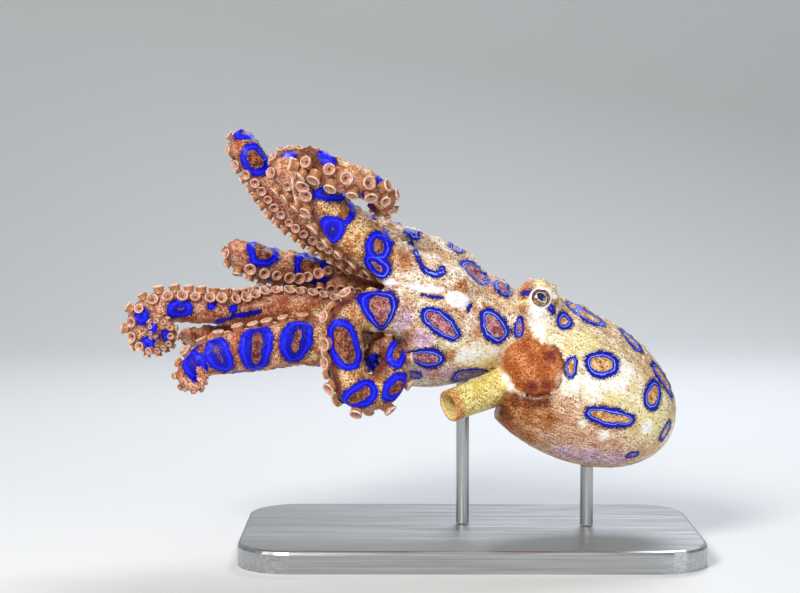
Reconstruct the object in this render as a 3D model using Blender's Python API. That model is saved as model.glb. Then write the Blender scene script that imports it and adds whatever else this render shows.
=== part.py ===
"""Greater blue-ringed octopus (Hapalochlaena lunulata), life size, swimming, on a display stand.

Metres, +Z up.  The origin is the centre of the stand's underside.  The animal swims tail first
towards +X with its left side towards -Y, rolled so that a little of its belly shows there.
"""
import math

import bmesh
import bpy
from mathutils import Matrix, Vector

MM = 0.001
GAP = 0.3 * MM                      # clearance between neighbouring solids
WELD = 0.05 * MM                    # points nearer than this are one
STRETCH_MOST = 2.0                  # how much further a sharp corner is moved than a flat
SHARP_ANGLE = math.radians(50)

# Directions on the animal.
LEFT, RIGHT = Vector((-1, 0, 0)), Vector((1, 0, 0))       # seen from its left side, not its own
UP, DOWN = Vector((0, 0, 1)), Vector((0, 0, -1))
NEAR, FAR = Vector((0, -1, 0)), Vector((0, 1, 0))
SIDES = {"left": LEFT, "right": RIGHT, "up": UP, "down": DOWN, "near": NEAR, "far": FAR}
ROLL = math.radians(15)             # belly turned towards -Y about the body's length

# Crown of arms: the ring on which the eight arms stand.
CROWN_CENTRE = Vector((-13.3, 0, 56.1)) * MM
CROWN_AXIS = Vector((-0.96, 0, 0.28)).normalized()        # the way the mouth faces
CROWN_RADIUS = 12 * MM
FIRST_ARM_ANGLE = math.radians(7.5)                       # from the top, towards the left side
ARM_ORDER = ("left_1", "left_2", "left_3", "left_4", "right_4", "right_3", "right_2", "right_1")
ARM_ROOT_RADIUS = 4.4 * MM
ARM_ROOT_DEPTH = 8 * MM             # how far an arm's ridge runs back into the crown
ARM_ROOT_INSET = 1.5 * MM           # how much nearer the crown's middle it starts
WEB_REACH = 5 * MM                  # how far the web carries the arms past the ring

# Arms: x, y, z and radius in mm, and the side that the suckers face.
ARM_STATIONS = {
    "left_1": (
        (-18.0, 0.5, 70.5, 4.4, "down near"),
        (-25.5, -1.0, 73.5, 4.3, "left near down"),
        (-33.0, -3.0, 78.0, 4.0, "left near down"),
        (-39.0, -3.5, 83.0, 3.7, "left near"),
        (-42.3, -2.8, 86.0, 3.1, "left"),
        (-42.6, 0.6, 88.3, 2.7, "left up"),
        (-39.9, 4.5, 89.5, 2.4, "up"),
        (-35.5, 7.4, 88.6, 2.0, "up"),
        (-31.7, 8.5, 86.2, 1.5, "up right"),
        (-29.4, 7.8, 83.6, 1.0, "right"),
    ),
    "left_2": (
        (-17.6, -11.0, 66.8, 4.6, "down far"),
        (-21.2, -12.0, 68.9, 5.0, "down left far"),
        (-25.0, -12.8, 71.7, 5.2, "down left far"),
        (-29.7, -13.5, 75.9, 5.0, "down left far"),
        (-33.4, -14.5, 80.7, 4.4, "down left"),
        (-34.9, -16.0, 85.0, 4.1, "left near"),
        (-35.3, -19.2, 88.0, 3.7, "left near"),
        (-32.8, -22.5, 87.8, 3.4, "near near down"),
        (-29.0, -23.5, 85.6, 3.2, "near near down"),
        (-25.0, -23.3, 84.4, 3.2, "near near down"),
        (-21.5, -21.5, 82.7, 2.9, "near near right"),
        (-19.0, -18.8, 80.1, 2.3, "right near"),
        (-20.0, -16.0, 78.1, 1.6, "right down"),
        (-22.3, -14.5, 79.1, 1.0, "down"),
    ),
    "left_3": (
        (-19.0, -15.0, 55.5, 4.5, "left far"),
        (-25.5, -17.0, 56.0, 4.4, "up left"),
        (-28.7, -18.5, 53.0, 4.2, "left"),
        (-28.2, -19.5, 48.9, 4.0, "left"),
        (-28.1, -20.0, 43.8, 4.3, "left"),
        (-26.4, -19.8, 39.2, 4.5, "left down"),
        (-22.5, -19.0, 37.8, 4.4, "down"),
        (-19.1, -18.0, 39.5, 4.0, "down right far"),
        (-17.4, -17.0, 42.6, 3.5, "right right far"),
        (-17.4, -15.9, 46.0, 2.9, "right up far"),
        (-19.6, -14.9, 48.0, 2.3, "up up far"),
        (-22.0, -14.4, 47.0, 2.0, "up left"),
        (-22.6, -14.4, 44.6, 1.7, "left"),
        (-21.3, -14.4, 42.9, 1.3, "down"),
    ),
    "left_4": (
        (-24.0, -7.0, 46.5, 4.6, "up up far"),
        (-33.2, -8.6, 48.3, 5.4, "up up far"),
        (-39.4, -9.5, 48.6, 5.4, "up up far"),
        (-47.4, -11.0, 47.3, 5.1, "up up far"),
        (-52.2, -11.5, 46.8, 4.9, "up up far"),
        (-55.4, -12.0, 46.0, 4.5, "up up far"),
        (-59.2, -12.3, 44.9, 3.9, "up left far"),
        (-62.3, -12.7, 43.1, 3.2, "up left"),
        (-63.8, -13.3, 41.3, 2.4, "left"),
        (-62.8, -14.2, 39.5, 1.7, "left down"),
        (-60.6, -15.2, 39.3, 1.3, "down"),
        (-59.5, -16.0, 41.0, 1.0, "right"),
        (-60.1, -16.4, 42.7, 0.7, "right up"),
    ),
    "right_4": (
        (-25.0, 4.0, 44.5, 4.2, "near up"),
        (-34.0, 6.0, 45.5, 4.1, "near"),
        (-43.0, 7.0, 46.5, 3.9, "near down"),
        (-51.0, 6.5, 47.5, 3.6, "near down"),
        (-58.0, 5.0, 48.0, 3.0, "near down"),
        (-62.5, 2.5, 48.3, 2.3, "left down"),
        (-64.5, -0.5, 49.0, 1.6, "left"),
        (-64.0, -3.5, 49.8, 0.9, "left"),
    ),
    "right_3": (
        (-27.0, 11.5, 51.5, 4.4, "up"),
        (-37.5, 9.5, 54.3, 4.3, "up"),
        (-46.7, 7.0, 55.3, 4.0, "up"),
        (-53.3, 3.5, 54.9, 3.7, "up up near"),
        (-60.4, 0.8, 55.5, 3.7, "up up near"),
        (-66.2, -0.5, 56.0, 3.8, "up up near"),
        (-71.5, -1.0, 55.4, 4.0, "up up near"),
        (-74.9, -1.0, 53.2, 3.5, "up left near"),
        (-75.4, -1.2, 49.8, 2.9, "left left near"),
        (-73.6, -1.8, 47.3, 2.3, "left down near"),
        (-70.5, -3.3, 47.2, 1.9, "down down near"),
        (-68.2, -5.0, 49.2, 1.8, "right near"),
        (-68.6, -6.3, 51.7, 1.7, "up near"),
        (-70.8, -7.1, 52.3, 1.5, "up left near"),
        (-72.0, -7.5, 50.6, 1.3, "left near"),
        (-70.8, -7.7, 49.6, 1.0, "down near"),
    ),
    "right_2": (
        (-23.0, 18.0, 60.0, 4.4, "near"),
        (-32.0, 19.0, 61.4, 4.4, "near"),
        (-40.0, 17.5, 62.8, 4.4, "near down"),
        (-47.0, 13.5, 64.2, 4.3, "near down"),
        (-52.3, 11.5, 66.4, 3.8, "near left down"),
        (-54.5, 15.0, 67.0, 3.1, "left near"),
        (-52.5, 19.5, 66.2, 2.6, "left far"),
        (-49.0, 22.7, 65.0, 2.0, "far left"),
        (-45.2, 24.2, 64.0, 1.1, "far"),
    ),
    "right_1": (
        (-19.5, 9.0, 65.5, 4.4, "down near"),
        (-29.3, 10.0, 68.8, 4.2, "down left near"),
        (-37.5, 10.0, 73.8, 4.2, "down left near"),
        (-43.7, 8.5, 79.6, 4.2, "left down near"),
        (-48.1, 6.5, 85.7, 4.0, "left down near"),
        (-51.1, 5.5, 90.3, 3.7, "left down"),
        (-52.6, 8.0, 93.0, 3.1, "left"),
        (-52.3, 12.0, 92.3, 2.5, "left up"),
        (-51.7, 15.0, 90.0, 1.9, "up far"),
        (-51.3, 15.8, 87.4, 1.1, "far"),
    ),
}
ARM_LENGTH_NAMES = ("base", "mid", "outer", "tip")
ARM_CUTS = (0.33, 0.60, 0.82)       # shares of an arm's length where it is divided
RING_PITCH = 0.55                   # distance between an arm's sections, in radii
SECTIONS_LEAST = 0.9 * MM
SUCKER_HEIGHT = 0.40                # of the arm's radius
# An arm's section: degrees from the middle of the sucker side, and share of the radius.
ARM_SECTION = ((0, 0.80), (28, 0.90), (62, 0.99), (103, 1.0), (152, 1.0),
               (208, 1.0), (257, 1.0), (298, 0.99), (332, 0.90))
SUCKER_COLUMNS = (1, 8)             # places in ARM_SECTION where the two rows of suckers stand

# Crown and head: x, z of a section's centre, half height, half width in mm, and its tilt in degrees.
CROWN_SECTIONS = (
    (9.8, 50.3, 8.9, 9.6, 10), (4.5, 50.9, 11.4, 11.6, 11), (-1.0, 50.8, 13.1, 13.6, 13),
    (-6.5, 51.9, 15.1, 15.0, 15), (-11.0, 53.8, 16.2, 15.4, 16), (-14.8, 55.9, 14.4, 13.8, 16),
)
DISH_RIM, DISH_FLOOR = 10.5 * MM, 6.5 * MM
DISH_DEPTH = 3.5 * MM
HEAD_SECTIONS = (
    (10.1, 50.3, 8.9, 9.6, 10), (13.0, 50.4, 9.3, 10.4, 15), (15.9, 49.3, 8.9, 10.6, 24),
    (19.0, 47.6, 7.4, 8.8, 31), (21.0, 46.4, 4.6, 6.0, 31),
)
BODY_SIDES = 18                     # points round the crown and the head

# Eyes, about the head's own middle plane.
HEAD_MIDDLE = Vector((14.6, 0, 50.2)) * MM
EYE_BULGE_OUT, EYE_BULGE_UP = 9.0 * MM, 4.6 * MM
EYE_BULGE_RADIUS = 5.4 * MM
EYEBALL_RADIUS = 2.9 * MM
EYEBALL_OUT = 3.1 * MM              # from the bulge's centre to the eyeball's
EYE_AHEAD, EYE_LIFT = 0.14, 0.06    # slopes of their look, towards +X and the head's crown
BULGE_MESH, EYEBALL_MESH = (14, 10), (12, 8)              # segments round and rows

# Mantle: an egg with its mouth cut flat.
MANTLE_DIP = math.radians(28)       # how far the mantle points down
MANTLE_CENTRE = Vector((22.9, 0, 38.1)) * MM
MANTLE_HALF_LENGTH, MANTLE_HALF_HEIGHT, MANTLE_HALF_WIDTH = 26.2 * MM, 17.1 * MM, 14.8 * MM
MANTLE_MOUTH = 12 * MM              # from the mantle's centre to its mouth
MANTLE_MESH = (22, 14)              # segments round and rows

# Collar: the funnel's wide base, which swells out of the mantle's mouth on both sides.
COLLAR_CENTRE = Vector((13.6, -1.2, 40.5)) * MM
COLLAR_HALF_LENGTH, COLLAR_HALF_HEIGHT, COLLAR_HALF_WIDTH = 7.7 * MM, 6.5 * MM, 14.0 * MM
COLLAR_END = 4.5 * MM               # length of each rounded end
COLLAR_END_TURNS = (40, 15)         # degrees round an end at which it has sections
COLLAR_TIP_INSET, COLLAR_TIP_SHARE = 0.3 * MM, 0.35       # the small flat at each end
COLLAR_SIDES = 16

# Funnel.
FUNNEL_BASE, FUNNEL_MOUTH = Vector((12.0, -3.5, 39.6)) * MM, Vector((-5.1, -14.0, 34.5)) * MM
FUNNEL_RADII = (4.8 * MM, 4.2 * MM, 3.9 * MM, 3.7 * MM, 3.6 * MM)
FUNNEL_BORE_RADIUS, FUNNEL_BORE_DEPTH = 2.6 * MM, 6 * MM
FUNNEL_BORE_TAPER = 0.9             # the bore's width at its floor, as a share
FUNNEL_LIP, FUNNEL_LIP_DEPTH = 0.3 * MM, 0.6 * MM         # bevel inside the mouth's edge
FUNNEL_SIDES = 16

# Mouth.
LIP_RADIUS, LIP_HEIGHT = 3.2 * MM, 2.0 * MM
BEAK_RADIUS, BEAK_HEIGHT = 1.1 * MM, 0.9 * MM

# Stand.
BASE_LENGTH, BASE_WIDTH, BASE_HEIGHT = 104 * MM, 60 * MM, 5 * MM
BASE_CORNER, BASE_EDGE = 12 * MM, 0.8 * MM
BASE_CORNER_STEPS, BASE_EDGE_STEPS = 6, 2
ROD_RADIUS, ROD_SIDES = 1.5 * MM, 16
MANTLE_ROD_X, MANTLE_ROD_Y = 27 * MM, 0.5 * MM
CROWN_ROD_X, CROWN_ROD_Y = -1.5 * MM, 3 * MM

# Colours: red, green, blue, roughness, metallic.
FINISHES = {
    "skin": (0.62, 0.42, 0.20, 0.45, 0.0),
    "arm_skin": (0.50, 0.22, 0.10, 0.45, 0.0),
    "collar_skin": (0.30, 0.11, 0.04, 0.45, 0.0),
    "funnel_skin": (0.70, 0.50, 0.18, 0.45, 0.0),
    "eye": (0.45, 0.30, 0.08, 0.12, 0.0),
    "beak": (0.03, 0.02, 0.015, 0.35, 0.0),
    "stand": (0.55, 0.55, 0.56, 0.35, 1.0),
}


def remove_everything():
    for item in list(bpy.data.objects):
        bpy.data.objects.remove(item, do_unlink=True)


def new_collection(name):
    collection = bpy.data.collections.new(name)
    bpy.context.scene.collection.children.link(collection)
    return collection


def material(node_name, finish):
    """A Principled material of the sub-part's own."""
    red, green, blue, roughness, metallic = FINISHES[finish]
    skin = bpy.data.materials.new(node_name + "_finish")
    skin.use_nodes = True
    shader = skin.node_tree.nodes["Principled BSDF"]
    shader.inputs["Base Color"].default_value = (red, green, blue, 1)
    shader.inputs["Roughness"].default_value = roughness
    shader.inputs["Metallic"].default_value = metallic
    return skin


def add_object(name, bm, collection, finish=None):
    """Turn a bmesh into a named object; a finish makes it a sub-part, none makes it a cutter."""
    mesh = bpy.data.meshes.new(name)
    bmesh.ops.recalc_face_normals(bm, faces=bm.faces)
    bm.to_mesh(mesh)
    bm.free()
    obj = bpy.data.objects.new(name, mesh)
    collection.objects.link(obj)
    if finish:
        mesh.materials.append(material(name, finish))
        mesh.shade_smooth()
        mesh.set_sharp_from_angle(angle=SHARP_ANGLE)
    else:
        obj.hide_render = True
        obj.display_type = "WIRE"
    return obj


def combine(obj, other, operation):
    modifier = obj.modifiers.new(operation.lower() + "_" + other.name, "BOOLEAN")
    modifier.operation = operation
    modifier.solver = "EXACT"
    modifier.object = other


def evaluated_bmesh(obj):
    bpy.context.view_layer.update()
    mesh = bpy.data.meshes.new_from_object(obj.evaluated_get(bpy.context.evaluated_depsgraph_get()))
    bm = bmesh.new()
    bm.from_mesh(mesh)
    bpy.data.meshes.remove(mesh)
    return bm


def grown(obj, collection):
    """A cutter: the object's evaluated shape, larger all round by the gap."""
    bm = evaluated_bmesh(obj)
    bmesh.ops.remove_doubles(bm, verts=bm.verts, dist=WELD)
    bm.normal_update()
    moves = [(vert, vert.normal * GAP * min(vert.calc_shell_factor(), STRETCH_MOST))
             for vert in bm.verts]
    for vert, move in moves:
        vert.co += move
    return add_object(obj.name + "_room", bm, collection)


def loft(rings, end_point=None):
    """Skin closed rings of equal count; the last ring may run out to a point."""
    bm = bmesh.new()
    rows = [[bm.verts.new(point) for point in ring] for ring in rings]
    for row, following in zip(rows, rows[1:]):
        for i, vert in enumerate(row):
            j = (i + 1) % len(row)
            bm.faces.new((vert, row[j], following[j], following[i]))
    bm.faces.new(list(reversed(rows[0])))
    if end_point is None:
        bm.faces.new(rows[-1])
    else:
        tip = bm.verts.new(end_point)
        for i, vert in enumerate(rows[-1]):
            bm.faces.new((vert, rows[-1][(i + 1) % len(rows[-1])], tip))
    return bm


def facing(words):
    return sum((SIDES[word] for word in words.split()), Vector()).normalized()


# Arms ------------------------------------------------------------------------------------------

def arm_angle(name):
    return FIRST_ARM_ANGLE + ARM_ORDER.index(name) * math.tau / len(ARM_ORDER)


def radial(angle):
    """Direction on the crown's ring, from the top towards the left side."""
    upward = Vector((CROWN_AXIS.z, 0, -CROWN_AXIS.x))
    return upward * math.cos(angle) + NEAR * math.sin(angle)


def arm_knots(name):
    """The arm's whole route: its root in the crown, its place on the ring, then its stations."""
    outward = radial(arm_angle(name))
    on_ring = CROWN_CENTRE + outward * CROWN_RADIUS
    root = on_ring - CROWN_AXIS * ARM_ROOT_DEPTH - outward * ARM_ROOT_INSET
    knots = [(root, ARM_ROOT_RADIUS, -outward), (on_ring, ARM_ROOT_RADIUS, -outward)]
    for x, y, z, radius, words in ARM_STATIONS[name]:
        knots.append((Vector((x, y, z)) * MM, radius * MM, facing(words)))
    return knots


def smooth_route(knots, steps=20):
    """A centripetal Catmull-Rom curve through the knots: (distance, point, radius, sucker side)."""
    points = [knot[0] for knot in knots]
    points = [2 * points[0] - points[1]] + points + [2 * points[-1] - points[-2]]
    route = [(0.0, points[1], knots[0][1], knots[0][2])]
    for i in range(len(knots) - 1):
        p0, p1, p2, p3 = points[i:i + 4]
        t1 = (p1 - p0).length ** 0.5
        t2 = t1 + (p2 - p1).length ** 0.5
        t3 = t2 + (p3 - p2).length ** 0.5
        for step in range(1, steps + 1):
            share = step / steps
            t = t1 + (t2 - t1) * share
            a1 = p0.lerp(p1, t / t1)
            a2 = p1.lerp(p2, share)
            a3 = p2.lerp(p3, (t - t2) / (t3 - t2))
            b1 = a1.lerp(a2, t / t2)
            b2 = a2.lerp(a3, (t - t1) / (t3 - t1))
            point = b1.lerp(b2, share)
            radius = knots[i][1] + (knots[i + 1][1] - knots[i][1]) * share
            side = knots[i][2].lerp(knots[i + 1][2], share)
            distance = route[-1][0] + (point - route[-1][1]).length
            route.append((distance, point, radius, side))
    return route


def place_on(route, distance):
    """Point, tangent, sucker direction and radius at a distance along a route."""
    low = 0
    while low < len(route) - 2 and route[low + 1][0] < distance:
        low += 1
    here, there = route[low], route[low + 1]
    share = (distance - here[0]) / (there[0] - here[0])
    before, after = route[max(low - 1, 0)], route[min(low + 2, len(route) - 1)]
    tangent = (there[1] - before[1]).normalized().lerp((after[1] - here[1]).normalized(), share)
    tangent.normalize()
    side = here[3].lerp(there[3], share)
    side = (side - tangent * side.dot(tangent)).normalized()
    radius = here[2] + (there[2] - here[2]) * share
    return here[1].lerp(there[1], share), tangent, side, radius


def arm_ring(route, distance, row=None, shift=0.0):
    """One section of an arm; row 0 or 1 gives it a sucker in that row."""
    centre, tangent, sucker_side, radius = place_on(route, distance)
    across = tangent.cross(sucker_side)
    ring = []
    for i, (degrees, share) in enumerate(ARM_SECTION):
        if row is not None and i == SUCKER_COLUMNS[row]:
            share += SUCKER_HEIGHT
        angle = math.radians(degrees)
        out = sucker_side * math.cos(angle) + across * math.sin(angle)
        ring.append(centre + tangent * shift + out * radius * share)
    return ring


def section_distances(route, start, end):
    """Distances of an arm's sections, closer together as it thins."""
    distances = [start]
    while True:
        radius = place_on(route, distances[-1])[3]
        following = distances[-1] + max(RING_PITCH * radius, SECTIONS_LEAST)
        if following > end - 0.5 * SECTIONS_LEAST:
            return distances + [end]
        distances.append(following)


def make_arm(name, route, web_end, collection):
    """The four lengths of one arm, parted by the gap, with two staggered rows of suckers."""
    total = route[-1][0]
    cuts = [web_end] + [web_end + (total - web_end) * share for share in ARM_CUTS] + [total]
    for number, part_name in enumerate(ARM_LENGTH_NAMES):
        distances = section_distances(route, cuts[number], cuts[number + 1])
        is_tip = number == len(ARM_LENGTH_NAMES) - 1
        rings = [arm_ring(route, distances[0], shift=GAP / 2)]
        for i, distance in enumerate(distances[1:-1]):
            rings.append(arm_ring(route, distance, row=i % 2))
        end_point = None
        if is_tip:
            rings.append(arm_ring(route, distances[-1]))
            centre, tangent, _, radius = place_on(route, distances[-1])
            end_point = centre + tangent * radius
        else:
            rings.append(arm_ring(route, distances[-1], shift=-GAP / 2))
        add_object("arm_%s_%s" % (name, part_name), loft(rings, end_point), collection, "arm_skin")


# Crown and head --------------------------------------------------------------------------------

def body_ring(x, z, half_height, half_width, tilt):
    """An upright elliptic section of the crown or head, leant by the tilt in degrees."""
    lean = math.radians(tilt)
    upward = Vector((math.sin(lean), 0, math.cos(lean)))
    ring = []
    for i in range(BODY_SIDES):
        angle = math.tau * i / BODY_SIDES
        ring.append((Vector((x, 0, z)) + upward * half_height * math.cos(angle)
                     + NEAR * half_width * math.sin(angle)) * MM)
    return ring


def crown_circle(radius, along):
    return [CROWN_CENTRE + CROWN_AXIS * along + radial(math.tau * i / BODY_SIDES) * radius
            for i in range(BODY_SIDES)]


def make_web(routes, web_ends, parts, cutters):
    """The crown from the neck to the ring, dished round the mouth, with the arms' thick roots."""
    rings = [body_ring(*section) for section in CROWN_SECTIONS]
    rings.append(crown_circle(DISH_RIM, 0))
    rings.append(crown_circle(DISH_FLOOR, -DISH_DEPTH))
    web = add_object("web", loft(rings), parts, "skin")
    grown(web, cutters)
    for name in ARM_ORDER:
        distances = section_distances(routes[name], 0, web_ends[name])
        stub_rings = [arm_ring(routes[name], distance) for distance in distances[:-1]]
        stub_rings.append(arm_ring(routes[name], distances[-1], shift=-GAP / 2))
        combine(web, add_object("root_" + name, loft(stub_rings), cutters), "UNION")
    return web


def head_side(sign):
    """Directions on the head: out to one side, and towards its crown."""
    upward = UP * math.cos(ROLL) + FAR * math.sin(ROLL)
    leftward = NEAR * math.cos(ROLL) + UP * math.sin(ROLL)
    return leftward * sign, upward


def ball(centre, radius, mesh_size):
    bm = bmesh.new()
    bmesh.ops.create_uvsphere(bm, u_segments=mesh_size[0], v_segments=mesh_size[1], radius=radius,
                              matrix=Matrix.Translation(centre))
    return bm


def make_head_and_eyes(web, parts, cutters):
    head = add_object("head", loft([body_ring(*section) for section in HEAD_SECTIONS]), parts, "skin")
    for side_name, sign in (("left", 1), ("right", -1)):
        outward, upward = head_side(sign)
        bulge_centre = HEAD_MIDDLE + outward * EYE_BULGE_OUT + upward * EYE_BULGE_UP
        bulge = add_object("eye_bulge_" + side_name, ball(bulge_centre, EYE_BULGE_RADIUS, BULGE_MESH),
                           cutters)
        combine(head, bulge, "UNION")
        combine(web, grown(bulge, cutters), "DIFFERENCE")
        look = (outward + upward * EYE_LIFT + RIGHT * EYE_AHEAD).normalized()
        eye = add_object("eye_" + side_name,
                         ball(bulge_centre + look * EYEBALL_OUT, EYEBALL_RADIUS, EYEBALL_MESH),
                         parts, "eye")
        combine(head, grown(eye, cutters), "DIFFERENCE")
    return head


def make_mouth(parts):
    """The lips, a low round cushion on the floor of the dish, with the beak's tips in it."""
    profile = ((LIP_RADIUS, 0), (LIP_RADIUS, 0.5 * LIP_HEIGHT), (0.75 * LIP_RADIUS, LIP_HEIGHT),
               (BEAK_RADIUS, 0.7 * LIP_HEIGHT), (0.5 * BEAK_RADIUS, 0.7 * LIP_HEIGHT + BEAK_HEIGHT))
    floor = GAP - DISH_DEPTH
    rings = [crown_circle(radius, floor + height)[::2] for radius, height in profile]
    add_object("mouth", loft(rings), parts, "beak")


# Mantle, collar and funnel ---------------------------------------------------------------------

def mantle_frame():
    """Along the mantle to its tip, out to the left side, and up to its back."""
    along = Vector((math.cos(MANTLE_DIP), 0, -math.sin(MANTLE_DIP)))
    square_up = Vector((math.sin(MANTLE_DIP), 0, math.cos(MANTLE_DIP)))
    leftward = NEAR * math.cos(ROLL) + square_up * math.sin(ROLL)
    upward = square_up * math.cos(ROLL) + FAR * math.sin(ROLL)
    return along, leftward, upward


def make_collar(head, parts, cutters):
    along, leftward, upward = mantle_frame()
    flat = COLLAR_HALF_WIDTH - COLLAR_END
    sections = [(COLLAR_TIP_INSET - COLLAR_HALF_WIDTH, COLLAR_TIP_SHARE)]
    for sign in (-1, 1):
        for degrees in COLLAR_END_TURNS[::-sign]:
            turn = math.radians(degrees)
            share = math.sqrt(math.cos(turn))
            sections.append((sign * (flat + COLLAR_END * math.sin(turn)), share))
    sections.append((COLLAR_HALF_WIDTH - COLLAR_TIP_INSET, COLLAR_TIP_SHARE))
    rings = []
    for out, share in sections:
        ring = []
        for i in range(COLLAR_SIDES):
            angle = math.tau * i / COLLAR_SIDES
            ring.append(COLLAR_CENTRE + leftward * out
                        + along * COLLAR_HALF_LENGTH * share * math.cos(angle)
                        + upward * COLLAR_HALF_HEIGHT * share * math.sin(angle))
        rings.append(ring)
    collar = add_object("collar", loft(rings), parts, "collar_skin")
    combine(collar, grown(head, cutters), "DIFFERENCE")
    combine(collar, cutters.objects["web_room"], "DIFFERENCE")
    return collar


def make_mantle(funnel, parts, cutters):
    along, leftward, upward = mantle_frame()
    bm = bmesh.new()
    bmesh.ops.create_uvsphere(bm, u_segments=MANTLE_MESH[0], v_segments=MANTLE_MESH[1], radius=1)
    scale = Matrix.Diagonal((MANTLE_HALF_WIDTH, MANTLE_HALF_HEIGHT, MANTLE_HALF_LENGTH))
    axes = Matrix((-leftward, upward, along)).transposed()
    for vert in bm.verts:
        vert.co = MANTLE_CENTRE + axes @ (scale @ vert.co)
    mouth = MANTLE_CENTRE - along * MANTLE_MOUTH
    cut = bmesh.ops.bisect_plane(bm, geom=bm.verts[:] + bm.edges[:] + bm.faces[:], dist=1e-7,
                                 plane_co=mouth, plane_no=-along, clear_outer=True)
    rim = [item for item in cut["geom_cut"] if isinstance(item, bmesh.types.BMEdge)]
    bmesh.ops.edgeloop_fill(bm, edges=rim)
    mantle = add_object("mantle", bm, parts, "skin")
    grown(mantle, cutters)
    for neighbour in ("head_room", "eye_left_room", "eye_right_room", "collar_room"):
        combine(mantle, cutters.objects[neighbour], "DIFFERENCE")
    combine(mantle, grown(funnel, cutters), "DIFFERENCE")


def make_funnel(collar, parts, cutters):
    """A tapering tube from the collar, open at its mouth."""
    axis = (FUNNEL_MOUTH - FUNNEL_BASE).normalized()
    across = axis.cross(UP).normalized()
    upward = across.cross(axis)

    def circle(centre, radius):
        turns = [math.tau * i / FUNNEL_SIDES for i in range(FUNNEL_SIDES)]
        return [centre + (across * math.cos(turn) + upward * math.sin(turn)) * radius
                for turn in turns]

    spans = len(FUNNEL_RADII) - 1
    rings = [circle(FUNNEL_BASE.lerp(FUNNEL_MOUTH, i / spans), radius)
             for i, radius in enumerate(FUNNEL_RADII)]
    rings.append(circle(FUNNEL_MOUTH, FUNNEL_BORE_RADIUS + FUNNEL_LIP))
    rings.append(circle(FUNNEL_MOUTH - axis * FUNNEL_LIP_DEPTH, FUNNEL_BORE_RADIUS))
    rings.append(circle(FUNNEL_MOUTH - axis * FUNNEL_BORE_DEPTH,
                        FUNNEL_BORE_RADIUS * FUNNEL_BORE_TAPER))
    funnel = add_object("funnel", loft(rings), parts, "funnel_skin")
    combine(funnel, grown(collar, cutters), "DIFFERENCE")
    for room in ("head_room", "web_room"):
        combine(funnel, cutters.objects[room], "DIFFERENCE")
    return funnel


# Stand -----------------------------------------------------------------------------------------

def make_stand(parts, cutters):
    bm = bmesh.new()
    bmesh.ops.create_cube(bm, size=1)
    bmesh.ops.scale(bm, vec=(BASE_LENGTH, BASE_WIDTH, BASE_HEIGHT), verts=bm.verts)
    bmesh.ops.translate(bm, vec=(0, 0, BASE_HEIGHT / 2), verts=bm.verts)
    half = BASE_HEIGHT / 2
    upright = [edge for edge in bm.edges if abs(edge.verts[0].co.z - edge.verts[1].co.z) > half]
    bmesh.ops.bevel(bm, geom=upright, offset=BASE_CORNER, segments=BASE_CORNER_STEPS, profile=0.5,
                    affect="EDGES")
    top = [edge for edge in bm.edges if all(vert.co.z > half for vert in edge.verts)]
    bmesh.ops.bevel(bm, geom=top, offset=BASE_EDGE, segments=BASE_EDGE_STEPS, profile=0.5,
                    affect="EDGES")
    add_object("stand_base", bm, parts, "stand")
    foot = BASE_HEIGHT + GAP
    rods = (("mantle", MANTLE_ROD_X, MANTLE_ROD_Y, MANTLE_CENTRE.z, "mantle_room"),
            ("crown", CROWN_ROD_X, CROWN_ROD_Y, CROWN_CENTRE.z, "web_room"))
    for name, x, y, head, held in rods:
        bm = bmesh.new()
        bmesh.ops.create_cone(bm, cap_ends=True, segments=ROD_SIDES, radius1=ROD_RADIUS,
                              radius2=ROD_RADIUS, depth=head - foot,
                              matrix=Matrix.Translation((x, y, (head + foot) / 2)))
        rod = add_object("stand_rod_" + name, bm, parts, "stand")
        combine(rod, cutters.objects[held], "DIFFERENCE")


def main():
    remove_everything()
    parts = new_collection("blue_ringed_octopus")
    cutters = new_collection("cutters")
    routes = {name: smooth_route(arm_knots(name)) for name in ARM_ORDER}
    web_ends = {name: ARM_ROOT_DEPTH + WEB_REACH for name in ARM_ORDER}
    web = make_web(routes, web_ends, parts, cutters)
    for name in ARM_ORDER:
        make_arm(name, routes[name], web_ends[name], parts)
    make_mouth(parts)
    head = make_head_and_eyes(web, parts, cutters)
    collar = make_collar(head, parts, cutters)
    funnel = make_funnel(collar, parts, cutters)
    make_mantle(funnel, parts, cutters)
    make_stand(parts, cutters)


main()
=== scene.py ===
"""Looks of the swimming greater blue-ringed octopus, a life-size museum model on its stand.

One skin is worked out as a field of distances round the stations that the solids have, in
millimetres, and turned into a mesh in metres.  Suckers, eyes and mouth are pieces of their own.
The near side is -Y, the animal's left; it swims tail first towards +X, its belly rolled nearer.
"""
import math
import random
from collections import namedtuple

import bmesh
import bpy
import numpy as np
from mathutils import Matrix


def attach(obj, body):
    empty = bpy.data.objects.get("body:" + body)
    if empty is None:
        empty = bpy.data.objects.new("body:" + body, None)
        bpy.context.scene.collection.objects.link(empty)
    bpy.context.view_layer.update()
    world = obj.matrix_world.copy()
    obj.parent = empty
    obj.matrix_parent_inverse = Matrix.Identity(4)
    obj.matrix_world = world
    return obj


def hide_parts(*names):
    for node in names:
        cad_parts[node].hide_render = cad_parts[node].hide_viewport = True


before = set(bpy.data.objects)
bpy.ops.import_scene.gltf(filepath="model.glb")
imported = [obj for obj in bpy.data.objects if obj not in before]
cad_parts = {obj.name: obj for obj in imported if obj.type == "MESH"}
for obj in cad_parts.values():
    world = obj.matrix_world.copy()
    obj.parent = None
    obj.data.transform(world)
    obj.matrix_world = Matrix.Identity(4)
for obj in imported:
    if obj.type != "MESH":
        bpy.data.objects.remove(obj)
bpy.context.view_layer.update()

import openvdb
from mathutils import Vector, bvhtree, noise

MM = 0.001
TINY = 1e-6                         # keeps a division from being by nothing
RING_SEED, SUCKER_SEED, TURN_SEED = 7, 11, 5

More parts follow.
